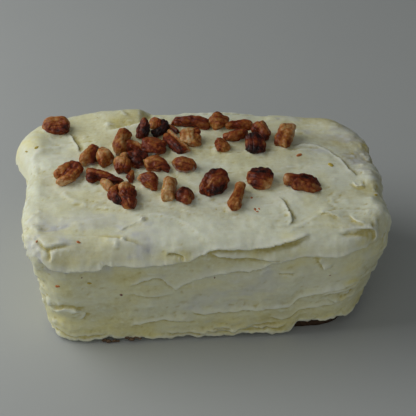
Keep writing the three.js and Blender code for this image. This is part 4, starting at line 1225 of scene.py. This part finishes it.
def nut_skin_group():
    """Shared look of the roasted nuts: their colours laid out by tone, mottled and pored."""
    group = bpy.data.node_groups.new("nut_skin", "ShaderNodeTree")
    for name in (*NUT_COLOURS, "Smear"):
        group.interface.new_socket(name, in_out="INPUT", socket_type="NodeSocketColor")
    group.interface.new_socket("Color", in_out="OUTPUT", socket_type="NodeSocketColor")
    group.interface.new_socket("Roughness", in_out="OUTPUT", socket_type="NodeSocketFloat")
    group.interface.new_socket("Normal", in_out="OUTPUT", socket_type="NodeSocketVector")
    nodes = Nodes(group)
    layers = nodes.add("NodeGroupInput").outputs
    wide = nodes.stretched((1, 1, 1))
    mottle = nodes.noise(wide, scale=0.9, detail=4, roughness=0.6)
    pore = nodes.noise(wide, scale=3.0, roughness=0.6)
    tone = nodes.math("ADD", nodes.mask("tone"), nodes.remap(mottle, 0.3, 0.7, -0.13, 0.13))
    tone = nodes.math("ADD", tone, nodes.remap(pore, 0.3, 0.7, -0.05, 0.05))
    names = list(NUT_COLOURS)
    colour = layers[names[0]]
    for i in range(1, len(names)):
        share = nodes.remap(tone, NUT_TONES[i - 1], NUT_TONES[i])
        colour = nodes.mix(share, colour, layers[names[i]])
    colour = nodes.mix(nodes.mask("smear"), colour, layers["Smear"])
    normal = nodes.bump(mottle, distance=0.0003, strength=0.6)
    normal = nodes.bump(pore, distance=0.0001, strength=0.6, normal=normal)
    rough = nodes.remap(pore, 0.3, 0.7, 0.30, 0.50)
    nodes.add("NodeGroupOutput", {"Color": colour, "Roughness": rough, "Normal": normal})
    return group


def pecan_material(slot, skin_group, smear_colour):
    """Roasted pecan: oily mottled skin, and sheer golden flesh where it is broken."""
    material, nodes, shader = new_material(
        f"{slot}_nut", Subsurface_Weight=0.45, Subsurface_Scale=0.0014,
        Subsurface_Radius=(1.0, 0.36, 0.11), Specular_IOR_Level=0.2, Coat_Weight=0.06,
        Coat_Roughness=0.15)
    skin = nodes.add("ShaderNodeGroup", node_tree=skin_group)
    for name, colour in NUT_COLOURS.items():
        tinted = (min(part * tint, 1) for part, tint in zip(colour, ROASTS[slot]))
        skin.inputs[name].default_value = (*tinted, 1)
    skin.inputs["Smear"].default_value = smear_colour
    nodes.feed(shader.inputs["Base Color"], skin.outputs["Color"])
    nodes.feed(shader.inputs["Roughness"], skin.outputs["Roughness"])
    nodes.feed(shader.inputs["Normal"], skin.outputs["Normal"])
    return material


def fleck_material(kind):
    """A wet fleck of carrot, zest or spice, with uneven colour."""
    material, nodes, shader = new_material(f"{kind}_fleck", Roughness=0.45)
    cloud = nodes.noise(nodes.stretched((1, 1, 1)), scale=1.5, detail=2)
    colour = FLECK_KINDS[kind]
    colour = nodes.mix(nodes.remap(cloud, 0.35, 0.65), colour, shaded(colour, 0.6))
    nodes.feed(shader.inputs["Base Color"], colour)
    return material


def plain_material(name, colour, roughness):
    """A matte finish with a faint cloudiness."""
    material, nodes, shader = new_material(name, Roughness=roughness)
    cloud = nodes.noise(nodes.stretched((1, 1, 1)), scale=0.02, detail=2)
    nodes.feed(shader.inputs["Base Color"], nodes.mix(cloud, colour, shaded(colour, 0.96)))
    return material


# ---------------------------------------------------------------------------------------------
# Pieces

# Places where the coat is thin and the sponge greys it, and at the back right painted shade:
# centre, radius, strength.
THIN_AND_SHADE_PATCHES = (
    ((-56, -28, 46), 4, 0.3),
    ((-52, -31, 46), 7, 0.3),
    ((-51, -37, 45), 5, 0.8),
    ((-44, -36, 45.5), 5, 0.45),
    ((-54, -38, 40), 6, 0.7),
    ((-49, -39, 38.5), 4, 0.4),
    ((-30, -38, 44), 6, 0.55),
    ((-24, -37, 45), 5, 0.5),
    ((-36, -27, 46), 9, 0.3),
    ((-18, -24, 47), 10, 0.25),
    ((2, -22, 47), 9, 0.2),
    ((28, 6, 46.5), 8, 0.3),
    # these three, at the back right, are painted shade where the top slopes away from the light,
    # and partly greyer thin icing
    ((58, 20, 44), 13, 0.6),
    ((60, 3, 45), 10, 0.55),
    ((46, 30, 45), 9, 0.4),
    ((48, -35.5, 44.5), 5, 0.5),
    ((10, -36, 46), 5, 0.2),
    ((4, -38, 20), 12, 0.3),
    ((20, -39, 24), 12, 0.25),
)

# Painted shade: places at the back right where the icing is made dull and a little darker,
# for the shade where its top slopes away from the light.
PAINTED_SHADE_PATCHES = (
    ((58, 20, 44), 13, 0.6),
    ((60, 2, 44), 10, 0.55),
    ((45, 30, 45), 10, 0.45),
    ((59, -14, 43), 9, 0.3),
)

# Places where the icing is yellow: buttery patches, and warm painted shade in slits and under
# lips.
BUTTER_AND_WARM_SHADE_PATCHES = (
    ((6, -37, 3.5), 2.6, 0.9),
    ((8, -37.5, 7), 6, 0.4),
    ((21, -37, 5.5), 4, 0.7),
    ((46.5, -36, 13), 2.4, 0.9),
    ((48, -36.5, 21), 2.2, 0.9),
    ((50, -36.5, 28.5), 4, 0.3),
    ((26, -39, 31), 2.4, 0.7),
    ((15.5, -39.5, 41.5), 2.2, 0.7),
    ((27.5, -37, 45), 2.6, 0.7),
    ((-34.5, -34.5, 46), 1.6, 0.8),
    ((-30, -34.5, 46), 1.2, 0.7),
    ((-8.5, -39.5, 41.5), 1.8, 0.8),
    ((-14.5, -39, 42.5), 1.6, 0.6),
    ((-53, -34.5, 9), 3, 0.6),
    ((-62, 19.5, 42), 2.2, 0.7),
    ((-59, 16.5, 45.5), 2.2, 0.8),
    ((-31.5, 28, 49), 3, 0.5),
    ((-26, 28.5, 49.5), 2.5, 0.5),
    ((-19, 30.5, 48), 3, 0.5),
    ((31, -39.5, 36), 3, 0.5),
    ((37, -39.5, 36.5), 3, 0.5),
    ((53, -36, 41), 3, 0.6),
    ((57, -13, 46), 4, 0.4),
)


class CAKE_OT_sponge(Operator):
    """Bakes the sponge: a block with an open crumb, flat underneath"""

    bl_idname = "carrot_cake.sponge"
    bl_label = "Sponge"

    def execute(self, context):
        shell = cube_shell(SPONGE_STEPS)
        rim = [edge for edge in shell.edges if edge.is_boundary]
        bmesh.ops.contextual_create(shell, geom=rim)
        piece = mesh_object("sponge_block", shell)
        mesh = piece.data
        points = loaf_points(read_points(mesh), COAT)
        write_points(mesh, points)
        normals = read_normals(mesh)
        normals[:, 2] = np.where(points[:, 2] < 0.1, 0, normals[:, 2])
        crumb = fractal(points, 2.4, 3, SEED.crumb)
        pores = smooth(lumpy(points, 1.6, SEED.pores), 0.35, 0.8)
        points = points - normals * (0.25 + 0.28 * crumb + 0.9 * pores)[:, None]
        points[:, 2] = np.maximum(points[:, 2], 0)
        write_points(mesh, points * MM)
        # the darkened colour is painted shade for the gap under the icing's edge
        colour = tuple(context.scene.cake.shaded_sponge_colour)
        finish_piece(piece, sponge_material("carrot_sponge", colour), "sponge", "sponge")
        return {"FINISHED"}


class CAKE_OT_icing(Operator):
    """Spreads the icing: the coat with its knife lips, lumps and ragged lower edge"""

    bl_idname = "carrot_cake.icing"
    bl_label = "Icing"

    def execute(self, context):
        settings = context.scene.cake
        shell = cube_shell(ICING_STEPS)
        self.split_lips(shell)
        self.line_inside(shell)
        piece = mesh_object("icing_coat", shell)
        mesh = piece.data
        cube = read_points(mesh)
        lining = cube[:, 2] < -1.01  # the lining is marked by heights under the cube's foot
        points = loaf_points(np.clip(cube, -1, 1))
        write_points(mesh, points)
        normals = read_normals(mesh)
        normals[:, 2] = np.maximum(normals[:, 2], 0)
        normals /= np.linalg.norm(normals, axis=1, keepdims=True) + 1e-9
        relief = self.relief(points, normals, settings)
        height, lean = relief.height, relief.lean
        height[lining] = 0
        lean[lining] = 0
        coated = points + normals * height[:, None] + lean
        coated[:, 2] -= SAG * np.maximum(height, 0) * (1 - normals[:, 2])
        self.tear_foot(coated, points, normals)
        coated[lining] = self.lining_points(cube[lining])
        coated = np.clip(coated, np.array(CAD_LOW) / MM, np.array(CAD_HIGH) / MM)
        write_points(mesh, coated * MM)
        self.write_masks(mesh, points, normals, relief, self.bend(mesh, coated))
        finish_piece(piece, icing_material(settings), "icing", "icing")
        return {"FINISHED"}

    @staticmethod
    def tear_foot(coated, points, normals):
        """Lifts the coat onto its ragged lower edge, tears that and presses it out."""
        rim = rim_height(coated[:, 0], coated[:, 1])
        teeth = np.abs(lumpy(coated, 2.2, SEED.rim_teeth))
        torn = RIM_SWAY * fractal(coated * (1, 1, 0), 9, 3, SEED.rim_sway) + RIM_LIFT
        torn = (torn - RIM_TEETH * teeth) * smooth(points[:, 2], RIM_TORN_UP_TO, 0)
        over = np.maximum(coated[:, 2], 0) * (HEIGHT - rim) / HEIGHT
        coated[:, 2] = np.maximum(rim + torn, RIM_LEAST) + over
        flare = FLARE + FLARE_VARIES * fractal(points, 3.5, 3, SEED.flare)
        flare *= smooth(points[:, 2], FLARE_HEIGHT, 0)
        coated += normals * (1, 1, 0) * flare[:, None]

    def write_masks(self, mesh, points, normals, relief, bend):
        """Stores painted highlight and shade, and where the icing is thin, buttery or on an end.
        """
        uneven = 0.75 + 0.6 * fractal(points, 7, 3, SEED.mask)
        # painted highlight where the coat bends outward, painted shade where it bends inward
        crest_highlight = relief.crest_highlight * uneven + smooth(-bend, *BENDS)
        # and a painted highlight along the icing's lower edge
        crest_highlight += 0.9 * smooth(points[:, 2], 1.8, 0.2)
        crease_shade = relief.crease_shade * uneven + smooth(bend, *BENDS)
        # painted shade in the patches at the back right, with an uneven strength, goes into the
        # crease shade
        shading = 0.7 + 0.6 * fractal(points, 4, 3, SEED.shading)
        crease_shade += self.patches(points, PAINTED_SHADE_PATCHES, SEED.shaded) * shading
        # random broad streaks, the icing's own tone, also lighten and darken it
        spread = fractal(points * (0.3, 1, 1), 8, 3, SEED.spread)
        crest_highlight += 0.3 * smooth(spread, 0.05, 0.5)
        crease_shade += 0.25 * smooth(-spread, 0.05, 0.5)
        write_mask(mesh, "crest_highlight", np.clip(crest_highlight, 0, 1))
        write_mask(mesh, "crease_shade", np.clip(crease_shade - 0.5 * crest_highlight, 0, 1))
        streaks = fractal(points * (0.45, 1, 1), 4, 3, SEED.thin_streaks)
        streaked = 0.3 + 1.2 * smooth(streaks, -0.15, 0.45)
        write_mask(mesh, "thin", self.patches(points, THIN_AND_SHADE_PATCHES, SEED.thin) * streaked)
        write_mask(mesh, "butter", self.butter(points, normals))
        write_mask(mesh, "ends", facing(normals[:, 0]))

    @staticmethod
    def bend(mesh, points):
        """How far each point lies under (or, negative, over) the average of those round it."""
        normals = read_normals(mesh)
        average = np.stack([blurred(mesh, points[:, axis], 2) for axis in range(3)], axis=1)
        return ((average - points) * normals).sum(1)

    @staticmethod
    def split_lips(shell):
        """Splits the mesh finer along the lips, where the icing has its sharpest edges."""
        cube = np.array([vert.co for vert in shell.verts])
        points = loaf_points(cube)
        normals = np.array([vert.normal for vert in shell.verts])
        strokes = [stroke for stroke in side_swipes() if stroke.rise > FINE_RISE]
        fine = lip_distance(points, normals, (*STROKES, *strokes)) < FINE_REACH
        edges = [edge for edge in shell.edges if all(fine[vert.index] for vert in edge.verts)]
        bmesh.ops.subdivide_edges(shell, edges=edges, cuts=1, use_grid_fill=True)

    @staticmethod
    def line_inside(shell):
        """Closes the shell with a rim and a lining, marked by their cube heights under -1."""
        for drop in (0.5, 1.0, 1.0):
            rim = [edge for edge in shell.edges if edge.is_boundary]
            made = bmesh.ops.extrude_edge_only(shell, edges=rim)["geom"]
            corners = [item for item in made if isinstance(item, bmesh.types.BMVert)]
            bmesh.ops.translate(shell, verts=corners, vec=(0, 0, -drop))
        rim = [edge for edge in shell.edges if edge.is_boundary]
        bmesh.ops.contextual_create(shell, geom=rim)

    @staticmethod
    def lining_points(cube):
        """Places the marked rings: along the rim, up at the shoulder, and in over the sponge."""
        inner = COAT - GAP
        at_rim = cube[:, 2] > -2
        overhead = cube[:, 2] < -3
        levels = np.where(at_rim, -1, np.where(overhead, 1, 0.7))
        shrink = np.where(overhead, 0.8, 1)[:, None]
        points = loaf_points(np.column_stack([cube[:, :2] * shrink, levels]), inner)
        rim = rim_height(points[:, 0], points[:, 1])
        points[:, 2] = np.where(at_rim, rim + 0.2, points[:, 2])
        return points

    @staticmethod
    def relief(points, normals, settings):
        """The icing over its smooth form: swipes, lips, lumps, torn places and fine unevenness."""
        relief = Relief(len(points))
        seeded_part = Relief(len(points))
        ragged = 0.5 * lumpy(points, 4.5, SEED.edge) + 0.35 * lumpy(points, 1.7, SEED.edge_fine)
        for swipe in laid_swipes(settings.seed):
            lay_swipe(points, normals, swipe, ragged, seeded_part.height)
        for stroke in side_swipes():
            add_stroke(points, normals, stroke, 0.8 * ragged, seeded_part)
        for stroke in STROKES:
            add_stroke(points, normals, stroke, 0.8 * ragged, relief)
        front = smooth(-normals[:, 1], 0.4, 0.9)
        calm = 1 - 0.75 * front
        uneven = settings.lip_scale * (1 + 0.3 * lumpy(points, 5, SEED.lips))
        height = uneven * relief.height + calm * seeded_part.height
        relief.lean += calm[:, None] * seeded_part.lean
        relief.crest_highlight += 0.6 * calm * seeded_part.crest_highlight
        relief.crease_shade += 0.6 * calm * seeded_part.crease_shade
        for lump in LUMPS:
            away = np.linalg.norm(points - np.array(lump.at), axis=1)
            height += lump.rise * np.exp(-((away / lump.radius) ** 2))
        for dab in DABS:
            away = np.linalg.norm(points - np.array(dab.at), axis=1) / dab.radius
            dabbed = np.exp(-((away * (1 + 0.5 * lumpy(points, 0.9, SEED.dab))) ** 2))
            height += dab.rise * dabbed
            # painted highlight on the dab
            relief.crest_highlight += dabbed
        height += waves(points) + layered(points, ALL_OVER) + tears(points)
        height += drag_marks(points, facing(normals[:, 0]))
        height += front * layered(points, ON_THE_FRONT)
        height += nut_collars(points, normals)
        relief.height = height
        return relief

    @staticmethod
    def patches(points, places, seed):
        """How strongly each point lies in the stated patches, whose edges are ragged."""
        mask = np.zeros(len(points))
        ragged = 1 + 0.5 * fractal(points, 5, 3, seed)
        for centre, radius, strength in places:
            away = np.linalg.norm(points - np.array(centre), axis=1) / radius
            mask += strength * np.exp(-((away * ragged) ** 2))
        return np.clip(mask, 0, 0.9)

    def butter(self, points, normals):
        """How yellow the icing is: in the stated patches, low on the sides and in soft clouds;
        partly buttery icing, partly warm painted shade.
        """
        upright = 1 - smooth(normals[:, 2], 0.2, 0.7)
        # yellower low on the sides and in a band under the top's lips: partly painted warm shade
        sides = 0.42 * smooth(points[:, 2], 17, 4) + 0.2 * ridge(points[:, 2] - 34, 9, 9) + 0.15
        clouds = 0.32 * smooth(fractal(points * (1, 1, 1.6), 14, 3, SEED.clouds), 0.0, 0.7)
        patches = self.patches(points, BUTTER_AND_WARM_SHADE_PATCHES, SEED.butter)
        return np.clip(patches + sides * upright + clouds, 0, 1)


class CAKE_OT_pecans(Operator):
    """Scatters the chopped pecans, each where its own node lies"""

    bl_idname = "carrot_cake.pecans"
    bl_label = "Pecans"

    def execute(self, context):
        slots = {part["node"]: part["material_slot"] for part in frame["record"]["subparts"]}
        skin_group = nut_skin_group()
        smear = context.scene.cake.smear_colour
        materials = {slot: pecan_material(slot, skin_group, smear) for slot in ROASTS}
        for index, pecan in enumerate(PECANS):
            node = f"pecan_{index + 1:02d}"
            piece = self.chop(node, index, pecan)
            finish_piece(piece, materials[slots[node]], slots[node], node)
        return {"FINISHED"}

    def chop(self, node, index, pecan):
        """One pecan piece: a ball drawn in onto its lobes, and wrinkled where it has its skin."""
        shell = bmesh.new()
        bmesh.ops.create_icosphere(shell, subdivisions=PECAN_SUBDIVISIONS, radius=1)
        piece = mesh_object(f"{node}_nut", shell)
        mesh = piece.data
        lobes = np.array(pecan.lobes)
        axes = self.axes(lobes)
        shape, bare = self.cut(self.drawn_in(read_points(mesh), lobes), axes, index)
        write_points(mesh, shape)
        weight = np.exp(-self.lobe_distances(shape, lobes) / TONE_REACH)
        tone = (weight * lobes[:, 4]).sum(1) / weight.sum(1)
        tone += BARE_PALER * bare * (1 - tone)
        skin = 1 - smooth(tone, *SKIN_ENDS)
        laid = shape @ axes.T * (NUT_STRETCH, 1, 1)
        grain = fractal(laid, 1.6, 2, SEED.nut_grain + index)
        furrow = np.abs(fractal(laid, 1.9, 2, SEED.nut_furrow + index))
        furrow = smooth(FURROW_WIDTH - furrow, 0, FURROW_WIDTH)
        wrinkles = fractal(shape, 0.8, 2, SEED.nut_wrinkle + index)
        bumps = NUT_LUMPS * lumpy(shape, 2.2, SEED.nut_lump + index) + NUT_GRAIN * grain
        bumps += skin * (NUT_WRINKLES * wrinkles - NUT_FURROWS * furrow)
        bumps += (1 - skin) * NUT_CRUMBLE * fractal(shape, 0.9, 2, SEED.nut_crumble + index)
        shape = shape + read_normals(mesh) * bumps[:, None]
        # darker in the furrows, lighter on the raised grain: partly the skin's colour, partly
        # painted shade and highlight
        tone += GRAIN_TONE * grain - FURROW_DARKER * furrow
        tone += PATCH_TONE * lumpy(shape, 1.3, SEED.nut_tone + index)
        write_mask(mesh, "tone", tone)
        smear = lumpy(shape, 1.8, SEED.nut_smear + index) - 0.4 * shape[:, 2]
        crowded = smooth(CLUSTER_REACH - math.dist(pecan.at, CLUSTER), 0, CLUSTER_FADE)
        write_mask(mesh, "smear", SMEAR * crowded * smooth(smear, -0.35, 0.3))
        placed = shape + top_points(*np.array([pecan.at], float).T)
        placed[:, 2] = np.minimum(placed[:, 2], CAD_HIGH.z / MM)
        write_points(mesh, placed * MM)
        return piece

    @staticmethod
    def lobe_distances(points, lobes):
        """How far points lie outside each lobe."""
        away = np.linalg.norm(points[:, None] - lobes[None, :, :3], axis=2)
        return away - lobes[:, 3]

    def drawn_in(self, ball, lobes):
        """The unit ball drawn in from outside until it meets the lobes, which blend."""
        low = (lobes[:, :3] - lobes[:, 3:4]).min(0)
        high = (lobes[:, :3] + lobes[:, 3:4]).max(0)
        middle = (lobes[:, :3] * lobes[:, 3:4] ** 2).sum(0) / (lobes[:, 3] ** 2).sum()
        spread = ball * (high - low) * 0.9
        reach = np.linalg.norm(spread, axis=1)
        way = spread / reach[:, None]
        for _ in range(LOBE_ROUNDS):
            outside = self.lobe_distances(middle + way * reach[:, None], lobes)
            gap = -LOBE_SWELL - LOBE_BLEND * np.log(np.exp(-outside / LOBE_BLEND).sum(1))
            reach = np.maximum(reach - gap, LOBE_LEAST)
        return middle + way * reach[:, None]

    @staticmethod
    def axes(lobes):
        """Three directions at right angles, the first of them along the piece."""
        spread = lobes[:, :3] - lobes[:, :3].mean(0)
        return np.linalg.svd(spread * lobes[:, 3:4])[2]

    @staticmethod
    def cut(shape, axes, index):
        """Flattens the piece past seeded planes; also tells where the break is bare of skin."""
        random = np.random.default_rng(PECAN_SEED + index)
        middle = shape.mean(0)
        bare = np.zeros(len(shape))
        for _ in range(PECAN_CUTS):
            way = random.normal(size=3) * (CUT_ALONG, 1, 1) @ axes
            way /= np.linalg.norm(way)
            along = (shape - middle) @ way
            over = np.maximum(along - along.max() + random.uniform(*CUT_DEPTHS), 0)
            shape = shape - np.outer(CUT_SHARE * over, way)
            bare = np.maximum(bare, (random.random() < 0.5) * smooth(over, 0.05, 0.4))
        return shape, bare


class CAKE_OT_flecks(Operator):
    """Strews the flecks of carrot, zest and spice that show in the icing"""

    bl_idname = "carrot_cake.flecks"
    bl_label = "Flecks"

    def execute(self, context):
        mesh = bpy.data.objects["icing_coat"].data
        points, normals = read_points(mesh) / MM, read_normals(mesh)
        random = np.random.default_rng(LOOSE_SEED)
        behind = np.flatnonzero((points[:, 2] > LOOSE_OVER) & (points[:, 1] > LOOSE_BEHIND))
        loose = [Fleck(points[random.choice(behind)], random.uniform(*LOOSE_SIZES),
                       random.choice(list(FLECK_KINDS))) for _ in range(LOOSE_FLECKS)]
        for kind in FLECK_KINDS:
            shell = bmesh.new()
            for fleck in (*FLECKS, *loose):
                if fleck.kind != kind:
                    continue
                nearest = np.linalg.norm(points - fleck.at, axis=1).argmin()
                upright = Vector(normals[nearest]).to_track_quat("Z", "X").to_matrix().to_4x4()
                turn = Matrix.Rotation(random.uniform(0, math.tau), 4, "Z")
                flat = Matrix.Diagonal((fleck.size / 2, fleck.size * random.uniform(*FLECK_WIDTHS),
                                        fleck.size * FLECK_THICKNESS, 1))
                place = Matrix.Translation(points[nearest]) @ upright @ turn @ flat
                bmesh.ops.create_icosphere(shell, subdivisions=FLECK_SUBDIVISIONS, radius=1,
                                           matrix=place)
            piece = mesh_object(f"{kind}_flecks", shell)
            shape = read_points(piece.data)
            grow = 0.1 * fractal(shape, 0.7, 2, SEED.fleck_form)
            write_points(piece.data, (shape + read_normals(piece.data) * grow[:, None]) * MM)
            finish_piece(piece, fleck_material(kind), "icing")
        return {"FINISHED"}


class CAKE_OT_crumbs(Operator):
    """Drops the crumbs of sponge along the foot of the front"""

    bl_idname = "carrot_cake.crumbs"
    bl_label = "Crumbs"

    def execute(self, context):
        shell = bmesh.new()
        for place, size in CRUMBS:
            scale = Matrix.Diagonal((size / 2, size * CRUMB_DEPTH, size * CRUMB_HEIGHT, 1))
            bmesh.ops.create_icosphere(shell, subdivisions=CRUMB_SUBDIVISIONS, radius=1,
                                       matrix=Matrix.Translation(place) @ scale)
        piece = mesh_object("sponge_crumbs", shell)
        shape = read_points(piece.data)
        grow = 0.3 * fractal(shape, 1.1, 3, SEED.crumb_form)
        shape = shape + read_normals(piece.data) * grow[:, None]
        shape[:, 2] = np.maximum(shape[:, 2], 0)
        write_points(piece.data, shape * MM)
        finish_piece(piece, sponge_material("sponge_crumb", CRUMB_COLOUR), "sponge")
        return {"FINISHED"}


class CAKE_OT_stage(Operator):
    """Sets the floor, the soft light and the camera"""

    bl_idname = "carrot_cake.stage"
    bl_label = "Stage"

    def execute(self, context):
        settings = context.scene.cake
        shell = bmesh.new()
        bmesh.ops.create_grid(shell, x_segments=1, y_segments=1, size=FLOOR_HALF)
        floor = mesh_object("floor", shell, smooth_faces=False)
        finish = plain_material("pale_floor", settings.floor_colour, FLOOR_ROUGHNESS)
        floor.data.materials.append(finish)
        floor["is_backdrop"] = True
        for lamp in LAMPS:
            self.light(lamp)
        world = bpy.data.worlds.new("room")
        world.use_nodes = True
        background = world.node_tree.nodes["Background"]
        background.inputs["Color"].default_value = ROOM_COLOUR
        background.inputs["Strength"].default_value = ROOM_STRENGTH
        context.scene.world = world
        context.scene.view_settings.view_transform = "Standard"
        self.camera(context.scene, settings)
        return {"FINISHED"}

    @staticmethod
    def light(lamp):
        """A large soft area light that faces the loaf."""
        light = bpy.data.lights.new(lamp.name, "AREA")
        light.size = lamp.size
        light.energy = lamp.power
        light.color = lamp.colour
        holder = bpy.data.objects.new(lamp.name, light)
        holder.location = lamp.place
        holder.rotation_euler = (-Vector(lamp.place)).to_track_quat("-Z", "Y").to_euler()
        bpy.context.scene.collection.objects.link(holder)

    @staticmethod
    def camera(scene, settings):
        """The camera, over the front and a little to the left."""
        rise, turn = settings.camera_rise, settings.camera_turn
        back = Vector((math.sin(turn) * math.cos(rise), -math.cos(turn) * math.cos(rise),
                       math.sin(rise)))
        lens = bpy.data.cameras.new("camera")
        lens.lens = LENS
        lens.sensor_width = SENSOR
        lens.clip_start = CLIP_START
        camera = bpy.data.objects.new("camera", lens)
        camera.location = Vector(CAMERA_TARGET) + back * settings.camera_distance
        camera.rotation_euler = (-back).to_track_quat("-Z", "Y").to_euler()
        scene.collection.objects.link(camera)
        scene.camera = camera


class CAKE_PT_panel(Panel):
    """Lists the loaf's pieces and its settings"""

    bl_label = "Carrot cake"
    bl_space_type = "VIEW_3D"
    bl_region_type = "UI"
    bl_category = "Cake"

    def draw(self, context):
        for operator in OPERATORS:
            self.layout.operator(operator.bl_idname)
        for name in CakeSettings.__annotations__:
            self.layout.prop(context.scene.cake, name)


OPERATORS = (CAKE_OT_stage, CAKE_OT_sponge, CAKE_OT_icing, CAKE_OT_pecans, CAKE_OT_flecks,
             CAKE_OT_crumbs)
CLASSES = (CakeSettings, *OPERATORS, CAKE_PT_panel)


def register():
    """Adds the operators, the panel and the settings to Blender."""
    for item in CLASSES:
        bpy.utils.register_class(item)
    bpy.types.Scene.cake = PointerProperty(type=CakeSettings)


def unregister():
    """Takes them away again."""
    del bpy.types.Scene.cake
    for item in reversed(CLASSES):
        bpy.utils.unregister_class(item)


def main():
    """Dresses the loaf round its frame."""
    register()
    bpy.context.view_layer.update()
    for operator in OPERATORS:
        group, name = operator.bl_idname.split(".")
        getattr(getattr(bpy.ops, group), name)()


if __name__ == "__main__":
    main()
